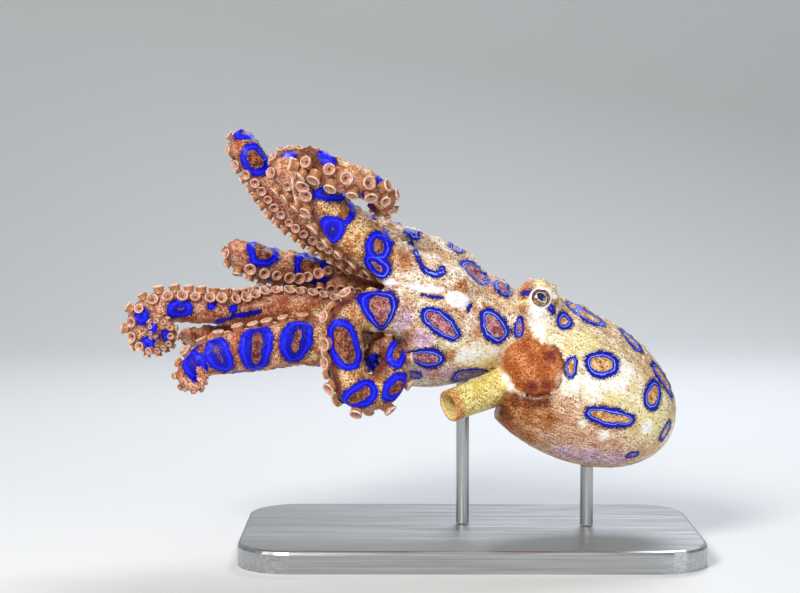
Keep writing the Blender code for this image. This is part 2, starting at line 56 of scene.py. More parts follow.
# Directions on the animal, as the near side sees them.
SIDES = {"left": (-1, 0, 0), "right": (1, 0, 0), "up": (0, 0, 1), "down": (0, 0, -1),
         "near": (0, -1, 0), "far": (0, 1, 0)}
UP, NEAR, FAR, RIGHT = (np.array(SIDES[word], float) for word in ("up", "near", "far", "right"))
ROLL = math.radians(15)             # belly turned towards -Y about the body's length

# Crown of arms: the ring on which the eight arms stand.
CROWN_CENTRE = np.array((-13.3, 0, 56.1))
CROWN_AXIS = np.array((-0.96, 0, 0.28))                   # the way the mouth faces
CROWN_RADIUS = 12.0
FIRST_ARM_ANGLE = math.radians(7.5)                       # from the top, towards the left side
ARM_ORDER = ("left_1", "left_2", "left_3", "left_4", "right_4", "right_3", "right_2", "right_1")
ARM_ROOT_RADIUS = 4.4
ARM_ROOT_DEPTH = 8.0                # how far an arm's ridge runs back into the crown
ARM_ROOT_INWARD = 1.5               # and how much nearer the crown's middle it starts
ARM_STEPS = 20                      # steps along an arm from one station to the next
SIDE_REACH, RADIUS_REACH = 8, 6     # steps to either side over which these are made even

# Arms: x, y, z and radius, and the side that the suckers face.
ARM_STATIONS = {
    "left_1": (
        (-18.0, 0.5, 70.5, 4.4, "down near"),
        (-25.5, -1.0, 73.5, 4.3, "left near down"),
        (-33.0, -3.0, 78.0, 4.0, "left near down"),
        (-39.0, -3.5, 83.0, 3.7, "left near"),
        (-42.3, -2.8, 86.0, 3.1, "left"),
        (-42.6, 0.6, 88.3, 2.7, "left up"),
        (-39.9, 4.5, 89.5, 2.4, "up"),
        (-35.5, 7.4, 88.6, 2.0, "up"),
        (-31.7, 8.5, 86.2, 1.5, "up right"),
        (-29.4, 7.8, 83.6, 1.0, "right"),
    ),
    "left_2": (
        (-17.6, -11.0, 66.8, 4.6, "down far"),
        (-21.2, -12.0, 68.9, 5.0, "down left far"),
        (-25.0, -12.8, 71.7, 5.2, "down left far"),
        (-29.7, -13.5, 75.9, 5.0, "down left far"),
        (-33.4, -14.5, 80.7, 4.4, "down left"),
        (-34.9, -16.0, 85.0, 4.1, "left near"),
        (-35.3, -19.2, 88.0, 3.7, "left near"),
        (-32.8, -22.5, 87.8, 3.4, "near near down"),
        (-29.0, -23.5, 85.6, 3.2, "near near down"),
        (-25.0, -23.3, 84.4, 3.2, "near near down"),
        (-21.5, -21.5, 82.7, 2.9, "near near right"),
        (-19.0, -18.8, 80.1, 2.3, "right near"),
        (-20.0, -16.0, 78.1, 1.6, "right down"),
        (-22.3, -14.5, 79.1, 1.0, "down"),
    ),
    "left_3": (
        (-19.0, -15.0, 55.5, 4.5, "left far"),
        (-25.5, -17.0, 56.0, 4.4, "up left"),
        (-28.7, -18.5, 53.0, 4.2, "left"),
        (-28.2, -19.5, 48.9, 4.0, "left"),
        (-28.1, -20.0, 43.8, 4.3, "left"),
        (-26.4, -19.8, 39.2, 4.5, "left down"),
        (-22.5, -19.0, 37.8, 4.4, "down"),
        (-19.1, -18.0, 39.5, 4.0, "down right far"),
        (-17.4, -17.0, 42.6, 3.5, "right right far"),
        (-17.4, -15.9, 46.0, 2.9, "right up far"),
        (-19.6, -14.9, 48.0, 2.3, "up up far"),
        (-22.0, -14.4, 47.0, 2.0, "up left"),
        (-22.6, -14.4, 44.6, 1.7, "left"),
        (-21.3, -14.4, 42.9, 1.3, "down"),
    ),
    "left_4": (
        (-24.0, -7.0, 46.5, 4.6, "up up far"),
        (-33.2, -8.6, 48.3, 5.4, "up up far"),
        (-39.4, -9.5, 48.6, 5.4, "up up far"),
        (-47.4, -11.0, 47.3, 5.1, "up up far"),
        (-52.2, -11.5, 46.8, 4.9, "up up far"),
        (-55.4, -12.0, 46.0, 4.5, "up up far"),
        (-59.2, -12.3, 44.9, 3.9, "up left far"),
        (-62.3, -12.7, 43.1, 3.2, "up left"),
        (-63.8, -13.3, 41.3, 2.4, "left"),
        (-62.8, -14.2, 39.5, 1.7, "left down"),
        (-60.6, -15.2, 39.3, 1.3, "down"),
        (-59.5, -16.0, 41.0, 1.0, "right"),
        (-60.1, -16.4, 42.7, 0.7, "right up"),
    ),
    "right_4": (
        (-25.0, 4.0, 44.5, 4.2, "near up"),
        (-34.0, 6.0, 45.5, 4.1, "near"),
        (-43.0, 7.0, 46.5, 3.9, "near down"),
        (-51.0, 6.5, 47.5, 3.6, "near down"),
        (-58.0, 5.0, 48.0, 3.0, "near down"),
        (-62.5, 2.5, 48.3, 2.3, "left down"),
        (-64.5, -0.5, 49.0, 1.6, "left"),
        (-64.0, -3.5, 49.8, 0.9, "left"),
    ),
    "right_3": (
        (-27.0, 11.5, 51.5, 4.4, "up"),
        (-37.5, 9.5, 54.3, 4.3, "up"),
        (-46.7, 7.0, 55.3, 4.0, "up"),
        (-53.3, 3.5, 54.9, 3.7, "up up near"),
        (-60.4, 0.8, 55.5, 3.7, "up up near"),
        (-66.2, -0.5, 56.0, 3.8, "up up near"),
        (-71.5, -1.0, 55.4, 4.0, "up up near"),
        (-74.9, -1.0, 53.2, 3.5, "up left near"),
        (-75.4, -1.2, 49.8, 2.9, "left left near"),
        (-73.6, -1.8, 47.3, 2.3, "left down near"),
        (-70.5, -3.3, 47.2, 1.9, "down down near"),
        (-68.2, -5.0, 49.2, 1.8, "right near"),
        (-68.6, -6.3, 51.7, 1.7, "up near"),
        (-70.8, -7.1, 52.3, 1.5, "up left near"),
        (-72.0, -7.5, 50.6, 1.3, "left near"),
        (-70.8, -7.7, 49.6, 1.0, "down near"),
    ),
    "right_2": (
        (-23.0, 18.0, 60.0, 4.4, "near"),
        (-32.0, 19.0, 61.4, 4.4, "near"),
        (-40.0, 17.5, 62.8, 4.4, "near down"),
        (-47.0, 13.5, 64.2, 4.3, "near down"),
        (-52.3, 11.5, 66.4, 3.8, "near left down"),
        (-54.5, 15.0, 67.0, 3.1, "left near"),
        (-52.5, 19.5, 66.2, 2.6, "left far"),
        (-49.0, 22.7, 65.0, 2.0, "far left"),
        (-45.2, 24.2, 64.0, 1.1, "far"),
    ),
    "right_1": (
        (-19.5, 9.0, 65.5, 4.4, "down near"),
        (-29.3, 10.0, 68.8, 4.2, "down left near"),
        (-37.5, 10.0, 73.8, 4.2, "down left near"),
        (-43.7, 8.5, 79.6, 4.2, "left down near"),
        (-48.1, 6.5, 85.7, 4.0, "left down near"),
        (-51.1, 5.5, 90.3, 3.7, "left down"),
        (-52.6, 8.0, 93.0, 3.1, "left"),
        (-52.3, 12.0, 92.3, 2.5, "left up"),
        (-51.7, 15.0, 90.0, 1.9, "up far"),
        (-51.3, 15.8, 87.4, 1.1, "far"),
    ),
}
SUCKER_FACE, ARM_SHOULDER = 0.80, 75      # flattened sucker side: share of radius, degrees round

# Crown and head: x, z of a section's centre, half height, half width and its tilt in degrees.
BODY_SECTIONS = np.array((
    (-14.8, 55.9, 14.4, 13.8, 16), (-11.0, 53.8, 16.2, 15.4, 16), (-6.5, 51.9, 15.1, 15.0, 15),
    (-1.0, 50.8, 13.1, 13.6, 13), (4.5, 50.9, 11.4, 11.6, 11), (9.8, 50.3, 8.9, 9.6, 10),
    (13.0, 50.4, 9.3, 10.4, 15), (15.9, 49.3, 8.9, 10.6, 24), (19.0, 47.6, 7.4, 8.8, 31),
))
LEAN_ROUNDS = 14                    # rounds in which a place finds its leaning section
DISH_RADIUS, DISH_DEPTH = 9.5, 4.0
DISH_AHEAD, DISH_EDGE = 1.0, 1.5    # its middle ahead of the crown's, and its edge's softness

# Eyes, about the head's own middle plane.
HEAD_MIDDLE = np.array((14.6, 0, 50.2))
EYE_BULGE_OUT, EYE_BULGE_UP, EYE_BULGE_RADIUS = 9.0, 4.6, 5.3
EYEBALL_RADIUS, EYEBALL_OUT = 2.9, 3.1
EYE_LIFT, EYE_AHEAD = 0.06, 0.14          # slopes of the way the eye looks
SOCKET_CLEARANCE = 0.35                   # how far behind the eyeball's face the skin passes
EYE_PAPILLA, EYE_PAPILLA_RADIUS = np.array((0.72, -0.1, 0.68)), 0.5  # its way from the bulge

# The web's near side: x, y, z and radius along a fold and along a raised patch.
WEB_FOLD = ((-20.6, -14.9, 64.0, 0.8), (-18.6, -14.3, 62.7, 1.1), (-15.5, -14.0, 61.8, 1.0),
            (-11.2, -14.3, 60.9, 0.7), (-6.6, -14.1, 60.3, 0.35))
WEB_PATCH = ((-6.2, -13.4, 59.3, 0.8), (-4.3, -13.0, 58.3, 1.9), (-2.5, -12.5, 57.7, 1.8),
             (-1.4, -12.2, 56.6, 1.1))

# Mantle, collar and funnel.
MANTLE_DIP = math.radians(28)
MANTLE_CENTRE = np.array((22.9, 0, 38.1))
MANTLE_HALVES = (26.1, 14.7, 17.0)        # half length, half width, half height
MANTLE_MOUTH = 12.0
COLLAR_CENTRE = np.array((13.6, -1.2, 40.5))
COLLAR_HALVES = (7.6, 13.9, 6.4)
COLLAR_END = 4.5
FUNNEL_BASE, FUNNEL_MOUTH = np.array((12.0, -3.5, 39.6)), np.array((-5.1, -14.0, 34.5))
FUNNEL_RADII = (4.8, 4.2, 3.9, 3.7, 3.6)
FUNNEL_BORE_RADIUS, FUNNEL_BORE_DEPTH = 2.75, 6.0

# The skin's field.
CELL = 0.66                         # spacing of the cells
GRID_LOW, GRID_HIGH = (-82.0, -30.0, 17.0), (51.0, 29.0, 99.0)
FAR_OFF = 5.0                       # the field is not followed further out than this
ARM_BAND = 2.5
CROWN_MELT, FREE_MELT = 3.4, 0.25   # softness of the joins at the arms' bases and along them
MELT_START, MELT_END = 13.0, 25.0   # distances along an arm between which it comes free
EYE_MELT, PAPILLA_MELT, FOLD_MELT, PATCH_MELT = 2.4, 0.4, 0.8, 1.2
FUNNEL_MELT, COLLAR_MELT, MOUTH_EDGE = 2.2, 0.5, 1.0
THROAT_MELT, NAPE_MELT = 0.3, 4.7   # of the mantle with the head: below, and what is added above
NAPE_HEIGHTS = (-3, 5)              # heights on the mantle between which it is added
CARVED_EDGE, SOCKET_EDGE = 0.3, 0.15
GROOVE_PLACE, GROOVE_HALF_WIDTH, GROOVE_DEPTH = 0.38, 0.34, 0.6      # about the collar's edge
GROOVE_START = -9.0                 # along the mantle from its middle
RIM_PLACE, RIM_WIDTH, RIM_HEIGHT = 0.95, 0.38, 0.5
RIM_DEPTHS = (-6, 2)                # depths below the mantle's middle between which it comes up
WART_SPACING, WART_RADIUS, WART_HEIGHT = 1.9, 0.5, 0.65     # the radius is a share of the spacing
LEAST_WEIGHT = 0.02                 # skin less warty than this is left smooth


# Small mathematics -------------------------------------------------------------------------------

def unit(vector):
    return np.asarray(vector, float) / np.linalg.norm(vector)


def facing(words):
    return unit(sum(np.array(SIDES[word], float) for word in words.split()))


def smooth_step(value, low, high):
    share = np.clip((value - low) / (high - low), 0, 1)
    return share * share * (3 - 2 * share)


def melt(a, b, softness):
    """The union of two fields, run together over a softness in mm."""
    share = np.clip(0.5 + 0.5 * (b - a) / softness, 0, 1)
    return b + (a - b) * share - softness * share * (1 - share)


def carve(a, cutter, softness):
    return -melt(-a, cutter, softness)


def smooth_curve(x, stations, values):
    """Values on one smooth curve through stations, held level beyond its ends."""
    slopes = np.gradient(values, stations)
    x = np.clip(x, stations[0], stations[-1])
    i = np.clip(np.searchsorted(stations, x) - 1, 0, len(stations) - 2)
    span = stations[i + 1] - stations[i]
    t = (x - stations[i]) / span
    return (values[i] * (1 + 2 * t) * (1 - t) ** 2 + values[i + 1] * t * t * (3 - 2 * t)
            + span * t * (1 - t) * (slopes[i] * (1 - t) - slopes[i + 1] * t))


# Arms --------------------------------------------------------------------------------------------

Arm = namedtuple("Arm", "name travel points tangents suckers across radii")


def arm_knots(name):
    """The arm's root in the crown, its place on the ring, then its stations."""
    axis = unit(CROWN_AXIS)
    angle = FIRST_ARM_ANGLE + ARM_ORDER.index(name) * math.tau / len(ARM_ORDER)
    outward = np.array((axis[2], 0, -axis[0])) * math.cos(angle) + NEAR * math.sin(angle)
    on_ring = CROWN_CENTRE + outward * CROWN_RADIUS
    root = on_ring - axis * ARM_ROOT_DEPTH - outward * ARM_ROOT_INWARD
    knots = [(root, ARM_ROOT_RADIUS, -outward), (on_ring, ARM_ROOT_RADIUS, -outward)]
    for x, y, z, radius, words in ARM_STATIONS[name]:
        knots.append((np.array((x, y, z)), radius, facing(words)))
    return knots


def running_mean(values, reach):
    """Each row's mean with its neighbours; the ends keep their own values."""
    padded = np.concatenate([values[:1]] * reach + [values] + [values[-1:]] * reach)
    width = 2 * reach + 1
    total = np.cumsum(np.concatenate([np.zeros_like(padded[:1]), padded]), axis=0)
    return (total[width:] - total[:-width]) / width


def make_arm(name):
    """An arm followed along a centripetal Catmull-Rom curve through its knots."""
    knots = arm_knots(name)
    points = [knot[0] for knot in knots]
    points = [2 * points[0] - points[1]] + points + [2 * points[-1] - points[-2]]
    route, radii, sides = [points[1]], [knots[0][1]], [knots[0][2]]
    for i in range(len(knots) - 1):
        p0, p1, p2, p3 = points[i:i + 4]
        t1 = math.sqrt(np.linalg.norm(p1 - p0))
        t2 = t1 + math.sqrt(np.linalg.norm(p2 - p1))
        t3 = t2 + math.sqrt(np.linalg.norm(p3 - p2))
        for step in range(1, ARM_STEPS + 1):
            share = step / ARM_STEPS
            t = t1 + (t2 - t1) * share
            a1 = p0 + (p1 - p0) * t / t1
            a2 = p1 + (p2 - p1) * share
            a3 = p2 + (p3 - p2) * (t - t2) / (t3 - t2)
            b1 = a1 + (a2 - a1) * t / t2
            b2 = a2 + (a3 - a2) * (t - t1) / (t3 - t1)
            route.append(b1 + (b2 - b1) * share)
            radii.append(knots[i][1] + (knots[i + 1][1] - knots[i][1]) * share)
            sides.append(knots[i][2] + (knots[i + 1][2] - knots[i][2]) * share)
    route = np.array(route)
    travel = np.concatenate([[0], np.cumsum(np.linalg.norm(np.diff(route, axis=0), axis=1))])
    tangents = np.gradient(route, travel, axis=0)
    tangents /= np.linalg.norm(tangents, axis=1, keepdims=True)
    suckers = running_mean(np.array(sides), SIDE_REACH)
    suckers -= tangents * np.sum(suckers * tangents, axis=1, keepdims=True)
    suckers /= np.linalg.norm(suckers, axis=1, keepdims=True)
    across = np.cross(tangents, suckers)
    radii = running_mean(np.array(radii), RADIUS_REACH)
    return Arm(name, travel, route, tangents, suckers, across, radii)


def arm_place(arm, places, station):
    """For places near stations of an arm: distance from its skin, travel along it, and the
    angle round it in degrees from the middle of its sucker side."""
    offset = places - arm.points[station]
    forward = np.sum(offset * arm.tangents[station], axis=1)
    towards = np.sum(offset * arm.suckers[station], axis=1)
    sideways = np.sum(offset * arm.across[station], axis=1)
    end = ((station == 0) & (forward < 0)) | ((station == len(arm.points) - 1) & (forward > 0))
    out = np.sqrt(towards ** 2 + sideways ** 2 + np.where(end, forward ** 2, 0))
    travel = arm.travel[station] + np.where(end, 0, forward)
    angle = np.degrees(np.arctan2(sideways, towards))
    flattening = (1 - SUCKER_FACE) * (1 - smooth_step(np.abs(angle), 0, ARM_SHOULDER))
    radius = np.interp(travel, arm.travel, arm.radii)
    return out - radius * (1 - flattening), travel, angle


# Field of the head, mantle, collar and funnel ----------------------------------------------------
# x, y and z are arrays of any shapes that fit together, so the same functions serve the grid
# and single points.

def reach_along(x, y, z, centre, direction):
    return ((x - centre[0]) * direction[0] + (y - centre[1]) * direction[1]
            + (z - centre[2]) * direction[2])


def ball(x, y, z, centre, radius):
    return np.sqrt((x - centre[0]) ** 2 + (y - centre[1]) ** 2 + (z - centre[2]) ** 2) - radius


def cord(x, y, z, stops):
    """Distance from a round cord whose stops give x, y, z and radius."""
    nearest = np.inf
    for first, second in zip(stops, stops[1:]):
        start, run = np.array(first[:3]), np.array(second[:3]) - np.array(first[:3])
        share = np.clip(reach_along(x, y, z, start, run) / (run @ run), 0, 1)
        gap = np.sqrt(sum((place - start[i] - share * run[i]) ** 2
                          for i, place in enumerate((x, y, z))))
        nearest = np.minimum(nearest, gap - first[3] - share * (second[3] - first[3]))
    return nearest


def about_axis(x, y, z, centre, axis):
    """How far places lie ahead of a centre along an axis, and how far out from the axis."""
    forward = reach_along(x, y, z, centre, axis)
    square = (x - centre[0]) ** 2 + (y - centre[1]) ** 2 + (z - centre[2]) ** 2
    return forward, np.sqrt(np.maximum(square - forward ** 2, 0))


def ellipse(places, halves):
    """Distance from an ellipse or ellipsoid, for places along its two or three halves."""
    shares = [place / half for place, half in zip(places, halves)]
    out = np.sqrt(sum(share ** 2 for share in shares))
    slope = np.sqrt(sum((share / half) ** 2 for share, half in zip(shares, halves)))
    return out * (out - 1) / np.maximum(slope, TINY)


def crown_and_head(x, y, z):
    """An elliptic loft along leaning sections, cut flat at its two ends."""
    stations = BODY_SECTIONS[:, 0]
    station = x + 0 * z
    for _ in range(LEAN_ROUNDS):
        lean = np.radians(smooth_curve(station, stations, BODY_SECTIONS[:, 4]))
        height = smooth_curve(station, stations, BODY_SECTIONS[:, 1])
        station = 0.5 * station + 0.5 * (x - (z - height) * np.tan(lean))
    half_height = smooth_curve(station, stations, BODY_SECTIONS[:, 2])
    half_width = smooth_curve(station, stations, BODY_SECTIONS[:, 3])
    upward = (z - height) / np.cos(lean)
    section = ellipse((upward, y), (half_height, half_width))
    overrun = np.maximum(station - stations[-1], stations[0] - station) * np.cos(lean)
    return np.maximum(section, overrun)


def head_side(sign):
    """Directions on the head: out to one side, and towards its crown."""
    upward = UP * math.cos(ROLL) + FAR * math.sin(ROLL)
    outward = NEAR * math.cos(ROLL) + UP * math.sin(ROLL)
    return outward * sign, upward


def eye_frame(sign):
    """Centre of the bulge, centre of the eyeball, and the way the eye looks."""
    outward, upward = head_side(sign)
    bulge = HEAD_MIDDLE + outward * EYE_BULGE_OUT + upward * EYE_BULGE_UP
    look = unit(outward + upward * EYE_LIFT + RIGHT * EYE_AHEAD)
    return bulge, bulge + look * EYEBALL_OUT, look


def mantle_frame():
    """Along the mantle to its tip, out to the left side, and up to its back."""
    along = np.array((math.cos(MANTLE_DIP), 0, -math.sin(MANTLE_DIP)))
    square_up = np.array((math.sin(MANTLE_DIP), 0, math.cos(MANTLE_DIP)))
    leftward = NEAR * math.cos(ROLL) + square_up * math.sin(ROLL)
    upward = square_up * math.cos(ROLL) + FAR * math.sin(ROLL)
    return along, leftward, upward


def mantle_places(x, y, z):
    return [reach_along(x, y, z, MANTLE_CENTRE, direction) for direction in mantle_frame()]


def mantle_egg(x, y, z):
    return ellipse(mantle_places(x, y, z), MANTLE_HALVES)


def collar_bar(x, y, z):
    """The funnel's wide base: a rounded bar across the mantle's mouth."""
    along, leftward, upward = mantle_frame()
    a, b, c = (reach_along(x, y, z, COLLAR_CENTRE, d) for d in (along, leftward, upward))
    half_length, half_width, half_height = COLLAR_HALVES
    side = ellipse((a, c), (half_length, half_height)) + COLLAR_END
    end = np.abs(b) - half_width + COLLAR_END
    outside = np.sqrt(np.maximum(side, 0) ** 2 + np.maximum(end, 0) ** 2)
    return np.minimum(np.maximum(side, end), 0) + outside - COLLAR_END


def funnel_tube(x, y, z):
    """The tapering funnel and, apart, the bore in its mouth."""
    axis = unit(FUNNEL_MOUTH - FUNNEL_BASE)
    length = np.linalg.norm(FUNNEL_MOUTH - FUNNEL_BASE)
    forward, out = about_axis(x, y, z, FUNNEL_BASE, axis)
    radius = np.interp(forward / length, np.linspace(0, 1, len(FUNNEL_RADII)), FUNNEL_RADII)
    tube = np.maximum(np.maximum(out - radius, forward - length), -forward)
    bore = np.maximum(out - FUNNEL_BORE_RADIUS, length - FUNNEL_BORE_DEPTH - forward)
    return tube, bore


def groove_and_rim(collar, mantle, back, upward):
    """The groove between the mantle's mouth and the collar, and the rim that stands up by it."""
    groove = np.maximum(np.abs(collar - GROOVE_PLACE) - GROOVE_HALF_WIDTH, -mantle - GROOVE_DEPTH)
    rim = np.exp(-((collar - RIM_PLACE) / RIM_WIDTH) ** 2) * smooth_step(-upward, *RIM_DEPTHS)
    return np.maximum(groove, GROOVE_START - back), RIM_HEIGHT * rim


def eye_gap(x, y, z):
    """Distance from the surface of the nearer eyeball."""
    return np.minimum(*(ball(x, y, z, eye_frame(sign)[1], EYEBALL_RADIUS) for sign in (1, -1)))


def body_field(x, y, z):
    """Distance from the skin of everything but the arms."""
    head = crown_and_head(x, y, z)
    for sign in (1, -1):
        head = melt(head, ball(x, y, z, eye_frame(sign)[0], EYE_BULGE_RADIUS), EYE_MELT)
    head = melt(head, cord(x, y, z, WEB_FOLD), FOLD_MELT)
    head = melt(head, cord(x, y, z, WEB_PATCH), PATCH_MELT)
    back, _, upward = mantle_places(x, y, z)
    mantle = carve(mantle_egg(x, y, z), MANTLE_MOUTH + back, MOUTH_EDGE)
    collar = collar_bar(x, y, z)
    groove, rim = groove_and_rim(collar, mantle, back, upward)
    softness = THROAT_MELT + NAPE_MELT * smooth_step(upward, *NAPE_HEIGHTS)
    body = melt(head, mantle - rim, softness)
    funnel, bore = funnel_tube(x, y, z)
    body = melt(body, melt(collar, funnel, FUNNEL_MELT), COLLAR_MELT)
    body = carve(body, groove, CARVED_EDGE)
    body = carve(body, bore, CARVED_EDGE)
    papilla = eye_frame(1)[0] + EYE_PAPILLA * EYE_BULGE_RADIUS
    body = melt(body, ball(x, y, z, papilla, EYE_PAPILLA_RADIUS), PAPILLA_MELT)
    return carve(body, eye_gap(x, y, z) + SOCKET_CLEARANCE, SOCKET_EDGE)


# The skin's mesh ---------------------------------------------------------------------------------

def grid_axes():
    return [np.arange(low, high, CELL) for low, high in zip(GRID_LOW, GRID_HIGH)]


def arm_block(arm, axes):
    """The block of cells round an arm and, in it, the station nearest to each cell."""
    reach = arm.radii + ARM_BAND
    block = [slice(*np.searchsorted(axis, ((arm.points[:, i] - reach).min(),
                                           (arm.points[:, i] + reach).max())))
             for i, axis in enumerate(axes)]
    x, y, z = (axis[part].astype(np.float32) for axis, part in zip(axes, block))
    nearest = np.full((len(x), len(y), len(z)), np.inf, np.float32)
    station = np.zeros(nearest.shape, np.int32)
    for i, point in enumerate(arm.points):
        part = tuple(slice(*np.searchsorted(axis, (centre - reach[i], centre + reach[i])))
                     for axis, centre in zip((x, y, z), point))
        dx, dy, dz = x[part[0]] - point[0], y[part[1]] - point[1], z[part[2]] - point[2]
        gap = np.sqrt((dx ** 2)[:, None, None] + (dy ** 2)[None, :, None]
                      + (dz ** 2)[None, None, :]) - arm.radii[i]
        closer = gap < nearest[part]
        nearest[part][closer] = gap[closer]
        station[part][closer] = i
    return tuple(block), (x, y, z), nearest < np.inf, station


def skin_field(arms):
    """The whole animal's field on the grid, with the arm that each cell belongs to."""
    axes = grid_axes()
    x, y, z = (axis.astype(np.float32) for axis in axes)
    field = body_field(x[:, None, None], y[None, :, None], z[None, None, :]).astype(np.float32)
    softness = np.full(field.shape, CROWN_MELT, np.float32)
    owner = np.full(field.shape, -1, np.int8)
    for number, arm in enumerate(arms):
        block, (ax, ay, az), reached, station = arm_block(arm, axes)
        i, j, k = np.nonzero(reached)
        places = np.stack([ax[i], ay[j], az[k]], axis=1).astype(float)
        out, travel, _ = arm_place(arm, places, station[reached])
        before = field[block][reached]
        own_softness = CROWN_MELT + (FREE_MELT - CROWN_MELT) * smooth_step(travel, MELT_START,
                                                                          MELT_END)
        shared = np.minimum(softness[block][reached], own_softness)
        nearer = out < before
        field[block][reached] = melt(before, out, shared)
        softness[block][reached] = np.where(nearer, own_softness, softness[block][reached])
        owner[block][reached] = np.where(nearer, number, owner[block][reached])
    forward, out = about_axis(x[:, None, None], y[None, :, None], z[None, None, :],
                              CROWN_CENTRE, unit(CROWN_AXIS))
    dish = ellipse((out, forward - DISH_AHEAD), (DISH_RADIUS, DISH_DEPTH))
    field = carve(field, dish, DISH_EDGE)
    return np.clip(field, -FAR_OFF, FAR_OFF), owner


def sampled(values, places):
    """Values between the grid's cells at places, by straight interpolation."""
    at = (places - np.array(GRID_LOW)) / CELL
    low = np.clip(np.floor(at).astype(int), 0, np.array(values.shape) - 2)
    share = at - low
    total = np.zeros(len(places))
    for corner in np.ndindex(2, 2, 2):
        weight = np.prod(np.where(corner, share, 1 - share), axis=1)
        i, j, k = (low + corner).T
        total += weight * values[i, j, k]
    return total


def steepness(field_at, places, step):
    """The field and its gradient at places."""
    gradient = np.zeros_like(places)
    for axis in range(3):
        move = np.zeros(3)
        move[axis] = step
        gradient[:, axis] = (field_at(places + move) - field_at(places - move)) / (2 * step)
    return field_at(places), gradient


FURTHEST_MOVE = 0.3                 # of a vertex in one round of settling, in mm
GENTLEST = 0.05                     # the least square of the field's slope that is divided by


def settle(places, field_at, step, rounds):
    """Move places on to the field's zero surface."""
    for _ in range(rounds):
        value, gradient = steepness(field_at, places, step)
        square = np.maximum(np.sum(gradient ** 2, axis=1), GENTLEST)
        move = -(value / square)[:, None] * gradient
        length = np.maximum(np.linalg.norm(move, axis=1, keepdims=True), TINY)
        places = places + move * np.minimum(1, FURTHEST_MOVE / length)
    return places


def body_at(places):
    return body_field(places[:, 0], places[:, 1], places[:, 2])


def mesh_object(name, vertices, faces, material):
    """An object at the origin from vertices in millimetres."""
    mesh = bpy.data.meshes.new(name)
    mesh.from_pydata([tuple(v) for v in np.asarray(vertices) * MM], [], faces)
    mesh.materials.append(material)
    mesh.shade_smooth()
    obj = bpy.data.objects.new(name, mesh)
    bpy.context.scene.collection.objects.link(obj)
    return obj


def vertices_of(mesh):
    co = np.empty(len(mesh.vertices) * 3, np.float32)
    mesh.vertices.foreach_get("co", co)
    return co.reshape(-1, 3).astype(float) / MM


def normals_of(mesh):
    normals = np.empty(len(mesh.vertices) * 3, np.float32)
    mesh.vertex_normals.foreach_get("vector", normals)
    return normals.reshape(-1, 3).astype(float)


def refine(bm, is_wanted):
    """Divide in two every edge whose ends are both wanted."""
    places = np.array([vert.co for vert in bm.verts]) / MM
    wanted = is_wanted(places)
    bm.verts.index_update()
    edges = [edge for edge in bm.edges if all(wanted[vert.index] for vert in edge.verts)]
    bmesh.ops.subdivide_edges(bm, edges=edges, cuts=1, use_grid_fill=True)


# Where the skin's mesh is divided again, in mm: distance from the groove, radii about the funnel's
# mouth and about each eye, with how far behind or beyond it their middle is, and the band along
# the lid's edge.
BY_GROOVE = 0.9
FUNNEL_FINE, FUNNEL_FINER, BEHIND_FUNNEL_MOUTH = 7.0, 4.8, 1.5
EYE_FINE, BEYOND_EYE = (5.4, 4.2), 0.8
LID_BAND, LID_BAND_WIDTH = 0.05, 0.3
BEHIND_ARMS, BY_FUNNEL = 7.5, 1.0   # x past which no arm comes near, and nearness to the funnel
COARSE_STEP, FINE_STEP = CELL * 0.5, 0.05       # over which the field's slope is taken


def within(centre, radius):
    return lambda places: np.linalg.norm(places - centre, axis=1) < radius


def by_groove(places):
    """Whether places lie by the groove round the collar."""
    x, y, z = places.T
    back, _, upward = mantle_places(x, y, z)
    groove, _ = groove_and_rim(collar_bar(x, y, z), mantle_egg(x, y, z), back, upward)
    return groove < BY_GROOVE


def by_lid(places):
    return np.abs(eye_gap(*places.T) - LID_BAND) < LID_BAND_WIDTH


def fine_regions():
    """Tests of places for where the skin's mesh is divided again, in order."""
    axis = unit(FUNNEL_MOUTH - FUNNEL_BASE)
    tests = [by_groove, within(FUNNEL_MOUTH - axis * BEHIND_FUNNEL_MOUTH, FUNNEL_FINE),
             within(FUNNEL_MOUTH, FUNNEL_FINER)]
    for sign in (1, -1):
        _, eye, look = eye_frame(sign)
        tests += [within(eye + look * BEYOND_EYE, radius) for radius in EYE_FINE]
    return tests + [by_lid]


def grow_skin(arms, material):
    """Mesh the field, finely round the eyes, the collar and the funnel, and settle it in place."""
    field, owner = skin_field(arms)
    grid = openvdb.FloatGrid(FAR_OFF)
    grid.copyFromArray(field)
    points, quads = grid.convertToQuads(0)
    places = points.astype(float) * CELL + np.array(GRID_LOW)
    places = settle(places, lambda where: sampled(field, where), COARSE_STEP, rounds=2)
    skin = mesh_object("skin", places, quads.tolist(), material)
    bm = bmesh.new()
    bm.from_mesh(skin.data)
    bmesh.ops.recalc_face_normals(bm, faces=bm.faces)
    for is_wanted in fine_regions():
        refine(bm, is_wanted)
    bm.to_mesh(skin.data)
    bm.free()
    places = vertices_of(skin.data)
    clear_of_arms = (places[:, 0] > BEHIND_ARMS) | (funnel_tube(*places.T)[0] < BY_FUNNEL)
    places[clear_of_arms] = settle(places[clear_of_arms], body_at, FINE_STEP, rounds=3)
    place_vertices(skin, places)
    return skin, owner


def place_vertices(obj, places):
    obj.data.vertices.foreach_set("co", (places * MM).astype(np.float32).ravel())
    obj.data.update()


def raise_warts(skin, surface, weight):
    """Raise round warts of skin, as high as a weight at each vertex says."""
    heights = np.zeros(len(surface.places))
    for row in np.nonzero(weight > LEAST_WEIGHT)[0]:
        gap = noise.voronoi(Vector(surface.places[row]) / WART_SPACING)[0][0]
        heights[row] = 1 - min(gap / WART_RADIUS, 1) ** 2
    places = surface.places + surface.normals * (heights * weight * WART_HEIGHT)[:, None]
    place_vertices(skin, places)


